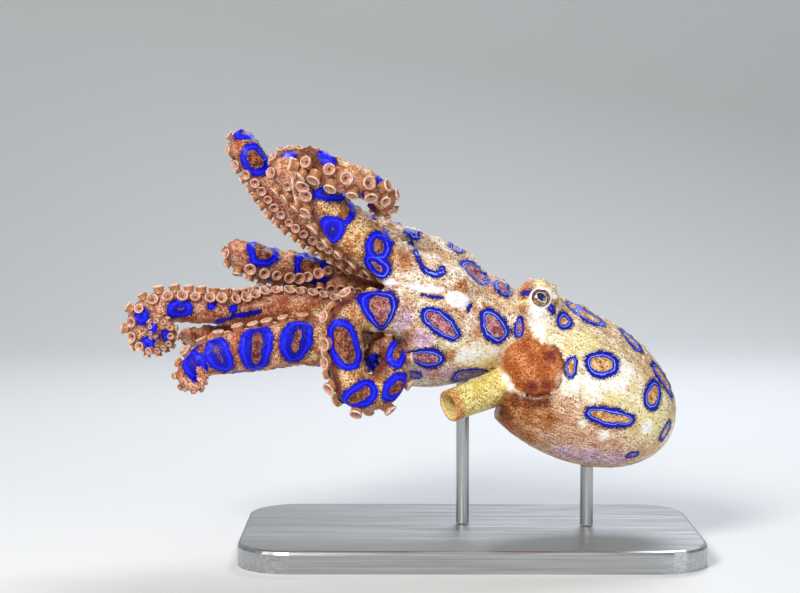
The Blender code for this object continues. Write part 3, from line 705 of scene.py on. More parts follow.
# Markings ----------------------------------------------------------------------------------------
# Each ring as the near side shows it: x and z of its middle, half length and half width of its
# bright line, the slope of its length in degrees, how far it is nipped in at the waist, how much
# narrower it is at the end that the slope points to, and how far its blue reaches inwards, where
# that isn't as on the rest of its arm.

Ring = namedtuple("Ring", "x z length width slope waist taper blue_in", defaults=(0, 0, 0))

WEB_RINGS = (
    Ring(5.0, 52.1, 3.3, 2.2, -60), Ring(-7.0, 53.1, 4.1, 1.9, -40, 0.08),
    Ring(-10.3, 45.2, 3.3, 1.6, 172, 0, 0.35), Ring(0.2, 40.6, 3.8, 0.9, 10, 0, 0.4),
    Ring(10.7, 51.9, 1.9, 0.5, 84), Ring(7.2, 60.3, 1.7, 0.8, -45), Ring(1.0, 63.6, 3.2, 1.0, -44),
    Ring(-3.4, 69.2, 1.2, 0.4, -25), Ring(-13.1, 72.5, 1.1, 0.5, -30),
    Ring(-13.0, 41.0, 1.3, 0.6, -10),
)
MANTLE_RINGS = (
    Ring(20.7, 53.2, 1.4, 1.1, -45), Ring(27.0, 53.6, 3.2, 0.8, -25), Ring(36.6, 48.3, 2.8, 0.5, -47),
    Ring(44.0, 39.4, 3.9, 0.6, -58), Ring(29.2, 43.8, 3.1, 2.1, -10), Ring(22.0, 43.2, 1.9, 0.9, 80),
    Ring(41.0, 36.5, 2.5, 1.6, 80), Ring(30.9, 32.1, 4.4, 1.6, -12, 0.18),
    Ring(44.2, 27.8, 2.1, 0.6, 60), Ring(36.5, 22.8, 1.1, 0.4, 15), Ring(23.4, 56.0, 1.6, 0.6, -10),
)
ARM_RINGS = (
    # left_3, the near coil
    Ring(-28.1, 49.2, 4.9, 3.1, -72), Ring(-20.3, 56.3, 4.5, 2.9, -80, 0, 0.6),
    Ring(-16.4, 47.2, 2.4, 1.7, 80), Ring(-21.4, 43.8, 1.9, 1.2, -50), Ring(-24.7, 38.0, 3.7, 2.2, 35),
    Ring(-16.7, 39.5, 2.8, 2.0, 45),
    # left_2
    Ring(-20.6, 70.1, 2.5, 2.1, 90), Ring(-21.0, 65.8, 2.7, 1.4, -40),
    Ring(-30.9, 73.7, 2.3, 1.7, -90, 0, 0.4, 1.9), Ring(-30.6, 82.0, 2.8, 1.0, -5),
    Ring(-31.7, 89.5, 1.2, 0.5, -45), Ring(-23.0, 87.2, 1.7, 0.5, -25),
    Ring(-19.7, 84.6, 1.0, 0.5, -45), Ring(-23.0, 81.8, 0.4, 0.3, 0),
    # right_1 and left_1
    Ring(-49.1, 89.2, 3.1, 2.6, 110), Ring(-51.5, 95.3, 2.0, 0.6, -15), Ring(-41.4, 90.4, 1.2, 0.5, 30),
    # right_2
    Ring(-47.8, 68.0, 3.0, 2.2, -30), Ring(-36.7, 63.5, 3.9, 3.0, -50), Ring(-47.6, 61.1, 0.3, 0.3, 0),
    # right_3, the far coil
    Ring(-66.0, 55.5, 2.1, 1.6, 0), Ring(-74.6, 53.8, 1.3, 1.2, 0), Ring(-71.8, 51.6, 0.5, 0.5, 0),
    Ring(-73.2, 47.6, 1.0, 0.9, 0), Ring(-69.0, 49.7, 0.5, 0.7, 0), Ring(-58.8, 56.1, 0.2, 0.3, 0),
    Ring(-54.0, 55.1, 0.2, 0.2, 0), Ring(-63.9, 52.0, 1.0, 0.4, -15),
    # left_4
    Ring(-38.8, 49.5, 4.4, 2.8, 80), Ring(-47.7, 47.7, 5.0, 3.2, 88, 0.12),
    Ring(-56.0, 46.3, 4.0, 2.1, -65), Ring(-61.6, 44.0, 2.8, 2.0, -60, 0.05),
)
# Strokes of blue: half width of the blue, whether it has a bright line, then x and z along each
# as the near side shows it.
NEAR_STROKES = (
    (0.8, True, (-13.7, 70.1), (-12.5, 68.4), (-11.4, 66.1), (-10.2, 64.5), (-8.2, 63.8),
     (-6.4, 64.3), (-6.7, 65.1)),
    (0.7, True, (-27.2, 79.3), (-25.2, 79.3), (-22.2, 76.7), (-19.2, 72.9), (-17.8, 70.9)),
    (0.8, True, (-27.2, 79.3), (-26.3, 77.9), (-27.6, 75.6)),
    (0.6, False, (-57.7, 52.4), (-53.7, 53.5), (-48.6, 54.4)),
    (0.35, False, (-11.1, 59.4), (-8.8, 59.0), (-6.6, 58.8)),
    (0.5, False, (-1.0, 56.0), (-0.3, 57.0)),
    (0.65, False, (11.7, 59.5), (13.4, 59.8)), (0.7, False, (17.3, 56.6), (18.3, 55.3)),
)

# How rings and strokes are drawn, in mm unless said.
STROKE_LINED, STROKE_PLAIN = -0.25, 0.2       # values along a stroke, with and without the line
BLUE_OUT = 0.95                     # how far the blue reaches out from a ring's bright line
BLUE_IN, BLUE_IN_ON_ARMS = 0.45, {"left_4": 2.0, "right_3": 1.5}
BLUE_IN_ON_OTHER_ARMS = 0.95
FULL_BAND_WIDTH = 1.5               # half width of a ring below which its blue is narrower
RAY_START, NEAR_SKIN = -60.0, -12.0 # y from which a ray starts, and near which it should end
RING_REACH = 4.5                    # how far past its bright line a ring is worked out
NO_RING = 9.0                       # the distance written where no ring is near
WALK_LIMIT = 9.0                    # a ring on an arm stays within this much of its length
ARM_BASE = 22                       # a ring of the body may run so far on to an arm
TURNED_AWAY = -0.45                 # cosine past which skin is on another side than its ring
MOST_LENGTHENED = 1.25              # a ring on slanting skin over its length as it shows
MOST_STRETCHED = 1.6                # way over curved skin over the straight way
RING_MIDDLE = 0.05                  # share of a ring within which the distance is held level
TAPERED = (0.4, 1.6)                # least and most share of a ring's width along its length
NARROWEST_BAND = 0.6                # least share of the blue's width, on small rings
LOBES = (0.02, 0.05)                # uneven bends in a ring's outline
SIDEWAYS = (0.31, 0.2, 0.93)        # a way that no ring's skin faces
BATCH = 2000                        # places worked out at one time


class Surface:
    """The skin as points with normals, its limbs, and rays and nearest points on it."""

    def __init__(self, skin, arms, owner):
        self.places = vertices_of(skin.data)
        self.normals = normals_of(skin.data)
        self.tree = bvhtree.BVHTree.FromPolygons(
            [tuple(place) for place in self.places], [tuple(p.vertices) for p in skin.data.polygons])
        cell = ((self.places - np.array(GRID_LOW)) / CELL).round().astype(int)
        cell = np.clip(cell, 0, np.array(owner.shape) - 1)
        self.limb = owner[tuple(cell.T)].astype(int)
        self.travel = np.zeros(len(self.places))
        self.angle = np.full(len(self.places), 180.0)
        for number, arm in enumerate(arms):
            rows = np.nonzero(self.limb == number)[0]
            station = nearest_station(arm, self.places[rows])
            _, self.travel[rows], self.angle[rows] = arm_place(arm, self.places[rows], station)

    def seen_from_near(self, x, z):
        """The skin that the near side shows at x and z: place, normal and row of a vertex."""
        hit = self.tree.ray_cast(Vector((x, RAY_START, z)), Vector((0, 1, 0)))
        if hit[0] is None:
            hit = self.tree.find_nearest(Vector((x, NEAR_SKIN, z)))
        place = np.array(hit[0])
        row = self.row_nearest(place)
        return place, self.normals[row], row

    def row_nearest(self, place):
        return int(np.argmin(np.sum((self.places - place) ** 2, axis=1)))


def nearest_station(arm, places):
    """Row of the arm's station whose skin is nearest to each place."""
    station = np.empty(len(places), int)
    for start in range(0, len(places), BATCH):
        part = places[start:start + BATCH]
        gap = np.linalg.norm(part[:, None, :] - arm.points[None, :, :], axis=2) - arm.radii
        station[start:start + BATCH] = np.argmin(gap, axis=1)
    return station


def tangent_ellipse(normal, ring):
    """The ellipse on the surface that shows on the near side as a ring does: its half length
    and half width and their directions, the length pointing along the ring's slope."""
    first = unit(np.cross(normal, SIDEWAYS))
    second = np.cross(normal, first)
    shown = np.array(((first[0], second[0]), (first[2], second[2])))
    turn = math.radians(ring.slope)
    axes = np.array(((math.cos(turn), math.sin(turn)), (-math.sin(turn), math.cos(turn))))
    form = axes.T @ np.diag((ring.length ** -2, ring.width ** -2)) @ axes
    values, vectors = np.linalg.eigh(shown.T @ form @ shown)
    longest = MOST_LENGTHENED * ring.length
    sizes = [min(1 / math.sqrt(max(value, TINY)), longest) for value in values]
    lengthwise, sideways = (first * v[0] + second * v[1] for v in vectors.T)
    if lengthwise[0] * math.cos(turn) + lengthwise[2] * math.sin(turn) < 0:
        lengthwise = -lengthwise
    return sizes, (lengthwise, sideways)


def ring_rows(surface, place, row, reach):
    """Rows of the vertices that a marking at a place may colour."""
    near = np.sum((surface.places - place) ** 2, axis=1) < reach ** 2
    near &= surface.normals @ surface.normals[row] > TURNED_AWAY
    limb, travel = surface.limb[row], surface.travel[row]
    same = (surface.limb == limb) & (np.abs(surface.travel - travel) < WALK_LIMIT)
    if limb < 0 or travel < MELT_END:
        same |= (surface.limb < 0) | (surface.travel < ARM_BASE)
        if limb >= 0:
            same &= (surface.limb < 0) | (np.abs(surface.travel - travel) < WALK_LIMIT)
    return np.nonzero(near & same)[0]


class Marks:
    """At each vertex the distance from the nearest ring's bright line, negative inside it, and
    how far the blue reaches inwards there."""

    def __init__(self, surface, rng):
        self.surface, self.rng = surface, rng
        self.edge = np.full(len(surface.places), NO_RING)
        self.inward = np.full(len(surface.places), BLUE_IN)
        self.middles = []

    def keep(self, rows, distance, inward):
        nearer = distance < self.edge[rows]
        self.edge[rows[nearer]] = distance[nearer]
        self.inward[rows[nearer]] = inward

    def is_clear(self, place, size, gap):
        return all(np.linalg.norm(place - middle) > other + size + gap
                   for middle, other in self.middles)

    def draw_ring(self, place, row, sizes, directions, waist=0, taper=0, inward=BLUE_IN):
        rows = ring_rows(self.surface, place, row, max(sizes) + RING_REACH)
        offset = self.surface.places[rows] - place
        across = [offset @ direction for direction in directions]
        stretch = np.linalg.norm(offset, axis=1) / np.maximum(np.hypot(*across), TINY)
        u, v = (part * np.clip(stretch, 1, MOST_STRETCHED) for part in across)
        v = v / np.clip(1 - taper * u / sizes[0], *TAPERED)
        angle = np.arctan2(v / sizes[1], u / sizes[0])
        bend = 1 + waist * np.cos(2 * angle)
        for lobes in (1, 2, 3):
            bend += (self.rng.uniform(*LOBES)
                     * np.cos(lobes * angle + self.rng.uniform(0, math.tau)))
        out = np.hypot(u / sizes[0], v / sizes[1]) / bend
        slope = np.hypot(u / sizes[0] ** 2, v / sizes[1] ** 2) / bend ** 2
        distance = np.where(out < RING_MIDDLE, -min(sizes),
                            out * (out - 1) / np.maximum(slope, TINY))
        if self.surface.limb[row] < 0:
            distance = distance / np.clip(sizes[1] / FULL_BAND_WIDTH, NARROWEST_BAND, 1)
        self.keep(rows, np.clip(distance, -NO_RING, NO_RING), inward)
        self.middles.append((place, sizes[0]))

    def draw_stroke(self, half_width, has_line, *points):
        for (x1, z1), (x2, z2) in zip(points, points[1:]):
            first, _, row = self.surface.seen_from_near(x1, z1)
            second, _, _ = self.surface.seen_from_near(x2, z2)
            rows = ring_rows(self.surface, (first + second) / 2, row,
                             np.linalg.norm(second - first) / 2 + RING_REACH)
            run = second - first
            share = np.clip((self.surface.places[rows] - first) @ run / (run @ run), 0, 1)
            gap = np.linalg.norm(self.surface.places[rows] - first - share[:, None] * run, axis=1)
            least = STROKE_LINED if has_line else STROKE_PLAIN
            self.keep(rows, least + gap * (BLUE_OUT - least) / half_width, BLUE_IN)


def reflected(place):
    """The place on the other side of the body, across its rolled middle plane."""
    _, leftward, _ = mantle_frame()
    return place - 2 * leftward * ((place - MANTLE_CENTRE) @ leftward)


def mark_skin(skin, surface, arms):
    """Draw every ring and stroke, and on the far side the body's rings again and the arms'."""
    marks = Marks(surface, random.Random(RING_SEED))
    for ring in WEB_RINGS + MANTLE_RINGS + ARM_RINGS:
        place, normal, row = surface.seen_from_near(ring.x, ring.z)
        sizes, directions = tangent_ellipse(normal, ring)
        limb = surface.limb[row]
        inward = BLUE_IN
        if limb >= 0 and ring in ARM_RINGS:
            inward = BLUE_IN_ON_ARMS.get(arms[limb].name, BLUE_IN_ON_OTHER_ARMS)
            inward = ring.blue_in or inward
        marks.draw_ring(place, row, sizes, directions, ring.waist, ring.taper, inward)
        if limb < 0:
            far_ring(marks, surface, place, sizes, directions, ring)
    for stroke in NEAR_STROKES:
        marks.draw_stroke(*stroke)
    for arm in arms:
        hidden_rings(marks, surface, arm)
    write_values(skin, "ring", marks.edge)
    write_values(skin, "inward", marks.inward)


def far_ring(marks, surface, place, sizes, directions, ring):
    """The same ring on the body's far side, where there is room for it."""
    hit = surface.tree.find_nearest(Vector(reflected(place)))
    far_place = np.array(hit[0])
    if marks.is_clear(far_place, sizes[0], FAR_RING_GAP):
        row = surface.row_nearest(far_place)
        normal = surface.normals[row]
        lengthwise = reflected(directions[0]) - reflected(np.zeros(3))
        lengthwise = unit(lengthwise - normal * (lengthwise @ normal))
        marks.draw_ring(far_place, row, sizes, (lengthwise, np.cross(normal, lengthwise)),
                        ring.waist, ring.taper)


# Rings that the near side doesn't show: distances in mm, angles in degrees from the middle of the
# sucker side, and sizes as shares of the arm's radius.
FAR_RING_GAP = 1.5
HIDDEN_RING_START, HIDDEN_RING_END, HIDDEN_RING_STEP, HIDDEN_RING_GAP = 17.0, 3, 9.0, 1.6
HIDDEN_RING_ANGLES, HIDDEN_RING_TURN = (180, 130, -130), 12
HIDDEN_RING_LENGTHS, HIDDEN_RING_WIDTHS = (0.5, 0.66), (0.6, 0.9)
FAR_SIDE = 0.12                     # how much an arm's skin faces away to count as hidden


def hidden_rings(marks, surface, arm):
    """Rings along an arm's back and flanks wherever the near side doesn't show them."""
    rng = marks.rng
    travel = HIDDEN_RING_START
    while travel < arm.travel[-1] - HIDDEN_RING_END:
        station = int(np.searchsorted(arm.travel, travel))
        radius = arm.radii[station]
        for degrees in HIDDEN_RING_ANGLES:
            turn = math.radians(degrees + rng.uniform(-HIDDEN_RING_TURN, HIDDEN_RING_TURN))
            outward = arm.suckers[station] * math.cos(turn) + arm.across[station] * math.sin(turn)
            place = arm.points[station] + outward * radius
            size = radius * rng.uniform(*HIDDEN_RING_LENGTHS)
            if outward[1] > FAR_SIDE and marks.is_clear(place, size, HIDDEN_RING_GAP):
                row = surface.row_nearest(place)
                lengthwise = arm.tangents[station]
                sideways = unit(np.cross(surface.normals[row], lengthwise))
                sizes = (size, size * rng.uniform(*HIDDEN_RING_WIDTHS))
                marks.draw_ring(surface.places[row], row, sizes, (sideways, lengthwise),
                                inward=BLUE_IN_ON_OTHER_ARMS)
        travel += HIDDEN_RING_STEP * (0.55 + 0.45 * radius / ARM_ROOT_RADIUS)


def write_values(obj, name, values):
    attribute = obj.data.attributes.new(name, "FLOAT", "POINT")
    attribute.data.foreach_set("value", np.asarray(values, np.float32))


# Kinds of skin: soft round patches as the near side shows them, x, z and radius, on both sides
# of the body.
PATCHES = {
    # White patches are partly pale skin and partly painted highlight: the bright middle and low spots of
    # the mantle, and the edge beside the eye's papilla.
    "white": ((21.7, 40.0, 3.2), (27.1, 39.3, 3.8), (32.5, 39.8, 3.4), (34.5, 42.3, 2.6),
              (29.5, 27.7, 1.6), (39.5, 29.2, 2.0), (25.0, 31.0, 1.4), (14.6, 55.9, 2.8),
              (14.7, 53.1, 2.8), (15.2, 50.9, 1.8), (0.6, 46.2, 3.2), (4.6, 46.4, 2.4), (-1.9, 45.5, 2.4),
              (-4.5, 49.0, 2.0), (15.6, 49.0, 0.9), (18.2, 61.6, 1.0), (20.0, 59.5, 0.9),
              (8.0, 40.4, 1.8), (9.0, 38.6, 1.6)),
    "yellow": ((40.1, 31.1, 6.0), (36.0, 27.5, 5.0), (36.2, 49.3, 4.0), (25.6, 48.6, 3.6),
               (-4.0, 47.5, 4.0), (4.0, 46.0, 5.0), (32.0, 36.5, 4.0), (11.2, 57.4, 2.4),
               (15.4, 61.7, 2.0), (-23.0, 54.0, 3.0)),
    # Five brown patches low under the collar, at z 27 to 33, are painted shade along the mantle's lower
    # edge; the others are brown skin.
    "brown": ((11.6, 55.8, 2.0), (11.9, 52.6, 2.0), (12.6, 50.3, 1.5), (10.4, 60.6, 2.4),
              (12.4, 61.4, 1.6), (18.8, 57.6, 1.5), (8.2, 33.0, 5.0), (12.4, 32.0, 5.0),
              (16.4, 31.6, 4.0), (8.6, 29.0, 5.0), (12.5, 27.0, 4.0), (-15.0, 67.0, 3.0),
              (-18.8, 67.0, 2.6), (-13.5, 50.5, 2.6), (-5.0, 46.0, 2.2), (-2.0, 61.0, 2.2)),
    "lilac": ((21.3, 23.4, 3.4), (26.7, 22.4, 3.8), (32.1, 21.8, 3.2), (-11.2, 41.8, 3.2),
              (-5.5, 41.6, 3.0), (-15.1, 54.2, 3.0), (-20.6, 60.0, 4.0), (-11.0, 49.6, 3.0),
              (3.0, 62.0, 3.4)),
    "blotch": ((17.3, 45.6, 1.9), (13.3, 39.2, 1.7), (16.4, 39.4, 1.6)),
    # Umber: painted shade below the mantle's rim under the funnel, darkening its orange-brown skin.
    "umber": ((9.4, 35.6, 2.8), (12.6, 35.6, 2.8), (15.6, 35.8, 2.6), (7.4, 32.4, 2.8)),
}


def patches(surface, spots):
    """Weights of soft round spots on both sides of the body."""
    weight = np.zeros(len(surface.places))
    for x, z, radius in spots:
        place, _, _ = surface.seen_from_near(x, z)
        for middle in (place, reflected(place)):
            gap = np.linalg.norm(surface.places - middle, axis=1) / radius
            np.maximum(weight, 1 - smooth_step(gap, 0.0, 1.6), out=weight)
    return weight


def zone_skin(skin, surface):
    """Write how far each vertex belongs to the arms, mantle, collar, funnel and so on, and
    return how warty the skin is.  A smooth step's two numbers are the mm, or the cosines or
    degrees, between which a zone comes in."""
    x, y, z = surface.places.T
    back, side, upward = mantle_places(x, y, z)
    collar, egg = collar_bar(x, y, z), mantle_egg(x, y, z)
    tube, bore = funnel_tube(x, y, z)
    from_mouth = -reach_along(x, y, z, FUNNEL_MOUTH, unit(FUNNEL_MOUTH - FUNNEL_BASE))
    on_body = surface.limb < 0
    mantle_up = mantle_frame()[2]
    is_collar = on_body * (1 - smooth_step(collar, 0.1, 0.9))
    is_funnel = on_body * (1 - smooth_step(tube, 0.2, 1.2)) * smooth_step(12.0 - x, 0.5, 3.5)
    is_mantle = on_body * smooth_step(back, -MANTLE_MOUTH - 1.5, -MANTLE_MOUTH + 1.5)
    is_mantle = is_mantle * (1 - is_collar)
    dorsal = on_body * smooth_step(surface.normals @ mantle_up, 0.1, 0.75)
    _, rim = groove_and_rim(collar, egg, back, upward)
    # Painted shade: the groove between the collar and the mantle's mouth is coloured dark as its shadow.
    groove_shade = smooth_step(collar, 0.02, 0.12) * (1 - smooth_step(collar, 0.8, 1.0))
    groove_shade *= smooth_step(-egg, 0.0, 0.5) * smooth_step(back, GROOVE_START - 1.5, GROOVE_START)
    from_eye = eye_gap(x, y, z)
    by_eye = smooth_step(from_eye, 0.4, 1.4)
    lid = 1 - smooth_step(from_eye, 0.0, 0.1)
    zones = {
        "arm": np.where(on_body, 0, smooth_step(surface.travel, 12, 24)),
        "collar": is_collar * (1 - is_funnel), "funnel": is_funnel, "mantle": is_mantle,
        "lip": is_funnel * (1 - smooth_step(from_mouth, 0.6, 2.6)),
        "dorsal": dorsal, "throat": on_body * (bore < 0.25),
        "belly": is_mantle * smooth_step(-upward + 0.25 * np.abs(side), 4.0, 12.0),
        "oral": np.where(on_body, 0, 1 - smooth_step(np.abs(surface.angle), 45, 80)),
        "groove": on_body * groove_shade * (1 - is_funnel),
        "rim": on_body * (rim / RIM_HEIGHT) ** 4 * (1 - is_collar), "lid": lid,
    }
    for name, spots in PATCHES.items():
        zones[name] = patches(surface, spots)
    # The fold's near white is partly the pale, thin web and partly a painted highlight along its ridge.
    fold = np.minimum(cord(x, y, z, WEB_FOLD), cord(x, y, z, WEB_PATCH))
    zones["fold"] = 1 - smooth_step(fold, 0.3, 0.55)
    # Partly painted shade: skin facing the mouth near the crown is darkened both for the web's darker
    # inner colour and for the shade that falls there.
    to_mouth = smooth_step(surface.normals @ unit(CROWN_AXIS), 0.0, 0.55)
    zones["inner"] = to_mouth * (1 - smooth_step(-x, 34, 44)) * (x < -14)
    zones["ruddy"] = zones["arm"] * smooth_step(-x, 30, 48)
    for name, values in zones.items():
        write_values(skin, name, values)
    upper = smooth_step(surface.normals[:, 2], 0.2, 0.8)
    free_arm = np.where(on_body, 0, (0.5 + 0.5 * upper) * (1 - 0.75 * zones["oral"]))
    body = on_body * (0.12 + 0.88 * dorsal * (1 - 0.6 * is_mantle))
    return (free_arm + body) * by_eye * (1 - is_funnel) * (1 - is_collar)


# Suckers -----------------------------------------------------------------------------------------

Suckers = namedtuple("Suckers", "width pitch full_radius stand splay")

# Width in mm, spacing in a row in widths, the arm's radius down to which the width holds, and
# the degrees from the middle of the sucker side at which a sucker stands and faces.
SUCKERS = {
    "left_1": Suckers(2.4, 1.15, 3.2, 28, 34), "left_2": Suckers(3.0, 1.25, 3.2, 27, 34),
    "left_3": Suckers(2.9, 1.45, 3.0, 29, 38), "left_4": Suckers(2.6, 1.35, 3.2, 27, 34),
    "right_1": Suckers(2.2, 1.10, 3.4, 30, 36), "right_2": Suckers(2.5, 1.15, 3.6, 28, 34),
    "right_3": Suckers(2.5, 1.10, 3.0, 28, 34), "right_4": Suckers(2.6, 1.2, 3.2, 28, 34),
}
FIRST_SUCKER = 9.5
# A sucker's profile: radius and height in half widths, and its band for colouring:
# 0 the hole, painted dark as the shade in its opening, 1 the cup, 1.5 the fold round it, 2 the rim, 3 the
# outside.
SUCKER_PROFILE = ((0.0, 0.02, 0.0), (0.20, 0.06, 0.1), (0.34, 0.30, 0.9), (0.60, 0.42, 1.0),
                  (0.80, 0.58, 1.6), (0.92, 0.70, 2.0), (1.0, 0.62, 2.1), (0.99, 0.42, 2.6),
                  (0.88, 0.10, 3.0), (0.86, -0.2, 3.0), (1.06, -0.75, 3.0))
SUCKER_SIDES, SUCKER_FLUTE = 14, 0.02
SUCKER_SINK = 0.16                  # share of its width that a sucker's foot is sunk
SUCKER_LIFT = 3.0                   # skin further than this outside an arm's radius bears none
SUCKER_FOOT = 0.375                 # share of its width that its foot reaches below its middle
SUCKER_SIZES, SUCKER_LEAN = (0.88, 1.10), 0.25      # how uneven they are in width and facing
DWINDLING = 1.1                     # above 1, suckers get small faster than their arm


def turned(profile, sides, place):
    """Vertices, faces and each vertex's row of a profile turned about an axis.  A row starts
    with its radius, and place gives the vertex for a row and a number round the axis."""
    vertices, faces, rows, last = [], [], [], None
    for row in profile:
        ring = []
        for i in range(sides if row[0] else 1):
            ring.append(len(vertices))
            vertices.append(place(row, i))
            rows.append(row)
        if last:
            for i in range(sides):
                j = (i + 1) % sides
                corners = [last[i % len(last)], last[j % len(last)], ring[j % len(ring)],
                           ring[i % len(ring)]]
                faces.append(list(dict.fromkeys(corners)))
        last = ring
    return np.array(vertices), faces, rows


def on_cup(row, i):
    """A point of the unit cup, which is fluted round its rim and outside."""
    radius, height, band = row
    flute = SUCKER_FLUTE * (1 if i % 2 else -1) if band > 1.5 else 0
    turn = math.tau * i / SUCKER_SIDES
    out = radius * (1 + flute) / 2
    return out * math.cos(turn), out * math.sin(turn), height / 2


def sucker_cup(material):
    """One cup a unit wide."""
    vertices, faces, rows = turned(SUCKER_PROFILE, SUCKER_SIDES, on_cup)
    cup = mesh_object("sucker_cup", vertices, faces, material)
    write_values(cup, "band", [band for _, _, band in rows])
    return cup


def sucker_places(arms, surface, rng):
    """Places on the skin in two staggered rows down each arm, with the ways the suckers face
    and their widths."""
    places, outs, widths = [], [], []
    for arm in arms:
        kind = SUCKERS[arm.name]
        travel, number = FIRST_SUCKER, 0
        while travel < arm.travel[-1] - 0.5:
            station = min(int(np.searchsorted(arm.travel, travel)), len(arm.travel) - 1)
            radius = arm.radii[station]
            width = (kind.width * min(1, radius / kind.full_radius) ** DWINDLING
                     * rng.uniform(*SUCKER_SIZES))
            hand = 1 if number % 2 else -1
            turns = [math.radians(hand * degrees) for degrees in (kind.stand, kind.splay)]
            stand, face = (arm.suckers[station] * math.cos(t) + arm.across[station] * math.sin(t)
                           for t in turns)
            start = arm.points[station] + stand * radius * 0.5
            hit = surface.tree.ray_cast(Vector(start), Vector(stand), radius * 0.5 + SUCKER_LIFT)
            travel += kind.pitch * width / 2
            number += 1
            if hit[0] is not None:
                places.append(np.array(hit[0]) + stand * width * (SUCKER_FOOT - SUCKER_SINK))
                lean = rng.uniform(-SUCKER_LEAN, SUCKER_LEAN)
                outs.append(unit(face + arm.tangents[station] * lean))
                widths.append(width)
    return np.array(places), np.array(outs), np.array(widths)


# Nodes -------------------------------------------------------------------------------------------
# Kinds of node that are used again and again, with their settings.

PLUS, MINUS, TIMES = (("ShaderNodeMath", {"operation": name})
                      for name in ("ADD", "SUBTRACT", "MULTIPLY"))
MIXED = ("ShaderNodeMix", {"data_type": "RGBA"})                        # share, colour, colour
EASED = ("ShaderNodeMapRange", {"interpolation_type": "SMOOTHSTEP"})    # value, from, to
NOISE = ("ShaderNodeTexNoise", {})                                      # where, scale, detail


def colour(code):
    """A linear colour from an sRGB hex value."""
    parts = [int(code[i:i + 2], 16) / 255 for i in (1, 3, 5)]
    return tuple(p / 12.92 if p <= 0.04045 else ((p + 0.055) / 1.055) ** 2.4 for p in parts) + (1,)


def feed(tree, socket, value):
    """Give a socket its value: a number, a hex colour, another socket, or a node, which stands
    for its first output."""
    if isinstance(value, bpy.types.Node):
        value = next(output for output in value.outputs if output.enabled)
    if isinstance(value, bpy.types.NodeSocket):
        tree.links.new(value, socket)
    elif isinstance(value, str) and value.startswith("#"):
        socket.default_value = colour(value)
    else:
        socket.default_value = value


def add(tree, kind, *inputs, **settings):
    """A node with its settings; its inputs come in order, or by name in one dictionary."""
    kind, preset = kind if isinstance(kind, tuple) else (kind, {})
    node = tree.nodes.new(kind)
    for name, value in {**preset, **settings}.items():
        setattr(node, name, value)
    if inputs and isinstance(inputs[0], dict):
        fed = [(node.inputs[name], value) for name, value in inputs[0].items()]
    else:
        fed = zip([socket for socket in node.inputs if socket.enabled], inputs)
    for socket, value in fed:
        feed(tree, socket, value)
    return node


FLOAT_MAXIMUM = 3                   # a random value's input, as other kinds share its name


def sucker_tree(material):
    """Stands a cup on every point, turned the way it faces and scaled to its width."""
    tree = bpy.data.node_groups.new("rows_of_suckers", "GeometryNodeTree")
    for name, way, kind in (("Geometry", "INPUT", "Geometry"), ("Cup", "INPUT", "Object"),
                            ("Millimetre", "INPUT", "Float"), ("Turn seed", "INPUT", "Int"),
                            ("Geometry", "OUTPUT", "Geometry")):
        tree.interface.new_socket(name, in_out=way, socket_type="NodeSocket" + kind)
    given = add(tree, "NodeGroupInput").outputs
    out = add(tree, "GeometryNodeInputNamedAttribute", {"Name": "out"}, data_type="FLOAT_VECTOR")
    width = add(tree, "GeometryNodeInputNamedAttribute", {"Name": "width"}, data_type="FLOAT")
    aligned = add(tree, "FunctionNodeAlignRotationToVector", {"Vector": out}, axis="Z")
    turn = add(tree, "FunctionNodeRandomValue",
               {FLOAT_MAXIMUM: math.tau, "Seed": given["Turn seed"]}, data_type="FLOAT")
    spin = add(tree, "ShaderNodeCombineXYZ", {"Z": turn})
    spun = add(tree, "FunctionNodeRotateRotation", {"Rotation": aligned, "Rotate By": spin},
               rotation_space="LOCAL")
    scale = add(tree, TIMES, width, given["Millimetre"])
    cup = add(tree, "GeometryNodeObjectInfo", {"Object": given["Cup"]})
    rows = add(tree, "GeometryNodeInstanceOnPoints",
               {"Points": given["Geometry"], "Instance": cup.outputs["Geometry"],
                "Rotation": spun, "Scale": scale})
    real = add(tree, "GeometryNodeRealizeInstances", {"Geometry": rows})
    finished = add(tree, "GeometryNodeSetMaterial", {"Geometry": real, "Material": material})
    add(tree, "NodeGroupOutput", {"Geometry": finished})
    return tree


def make_suckers(arms, surface, material):
    places, outs, widths = sucker_places(arms, surface, random.Random(SUCKER_SEED))
    points = mesh_object("sucker_points", places, [], material)
    for name, kind, field, values in (("out", "FLOAT_VECTOR", "vector", outs),
                                      ("width", "FLOAT", "value", widths)):
        attribute = points.data.attributes.new(name, kind, "POINT")
        attribute.data.foreach_set(field, np.asarray(values, np.float32).ravel())
    cup = sucker_cup(material)
    tree = sucker_tree(material)
    modifier = points.modifiers.new("rows_of_suckers", "NODES")
    modifier.node_group = tree
    sockets = {item.name: item.identifier for item in tree.interface.items_tree
               if item.in_out == "INPUT"}
    modifier[sockets["Cup"]] = cup
    modifier[sockets["Millimetre"]] = 1.0
    modifier[sockets["Turn seed"]] = TURN_SEED
    bpy.context.view_layer.update()
    evaluated = points.evaluated_get(bpy.context.evaluated_depsgraph_get())
    mesh = bpy.data.meshes.new_from_object(evaluated)
    for spare in (points, cup):
        bpy.data.objects.remove(spare)
    suckers = bpy.data.objects.new("suckers", mesh)
    bpy.context.scene.collection.objects.link(suckers)
    mesh.shade_smooth()
    return suckers


# Eyes and mouth ----------------------------------------------------------------------------------

EYE_RINGS, EYE_SIDES = 36, 48
LID_EDGE = 2.08                     # radius at which the white lid ends on the eyeball
PUPIL_HALF_LENGTH, PUPIL_HALF_WIDTH, PUPIL_SLOPE = 1.15, 0.74, math.radians(-40)


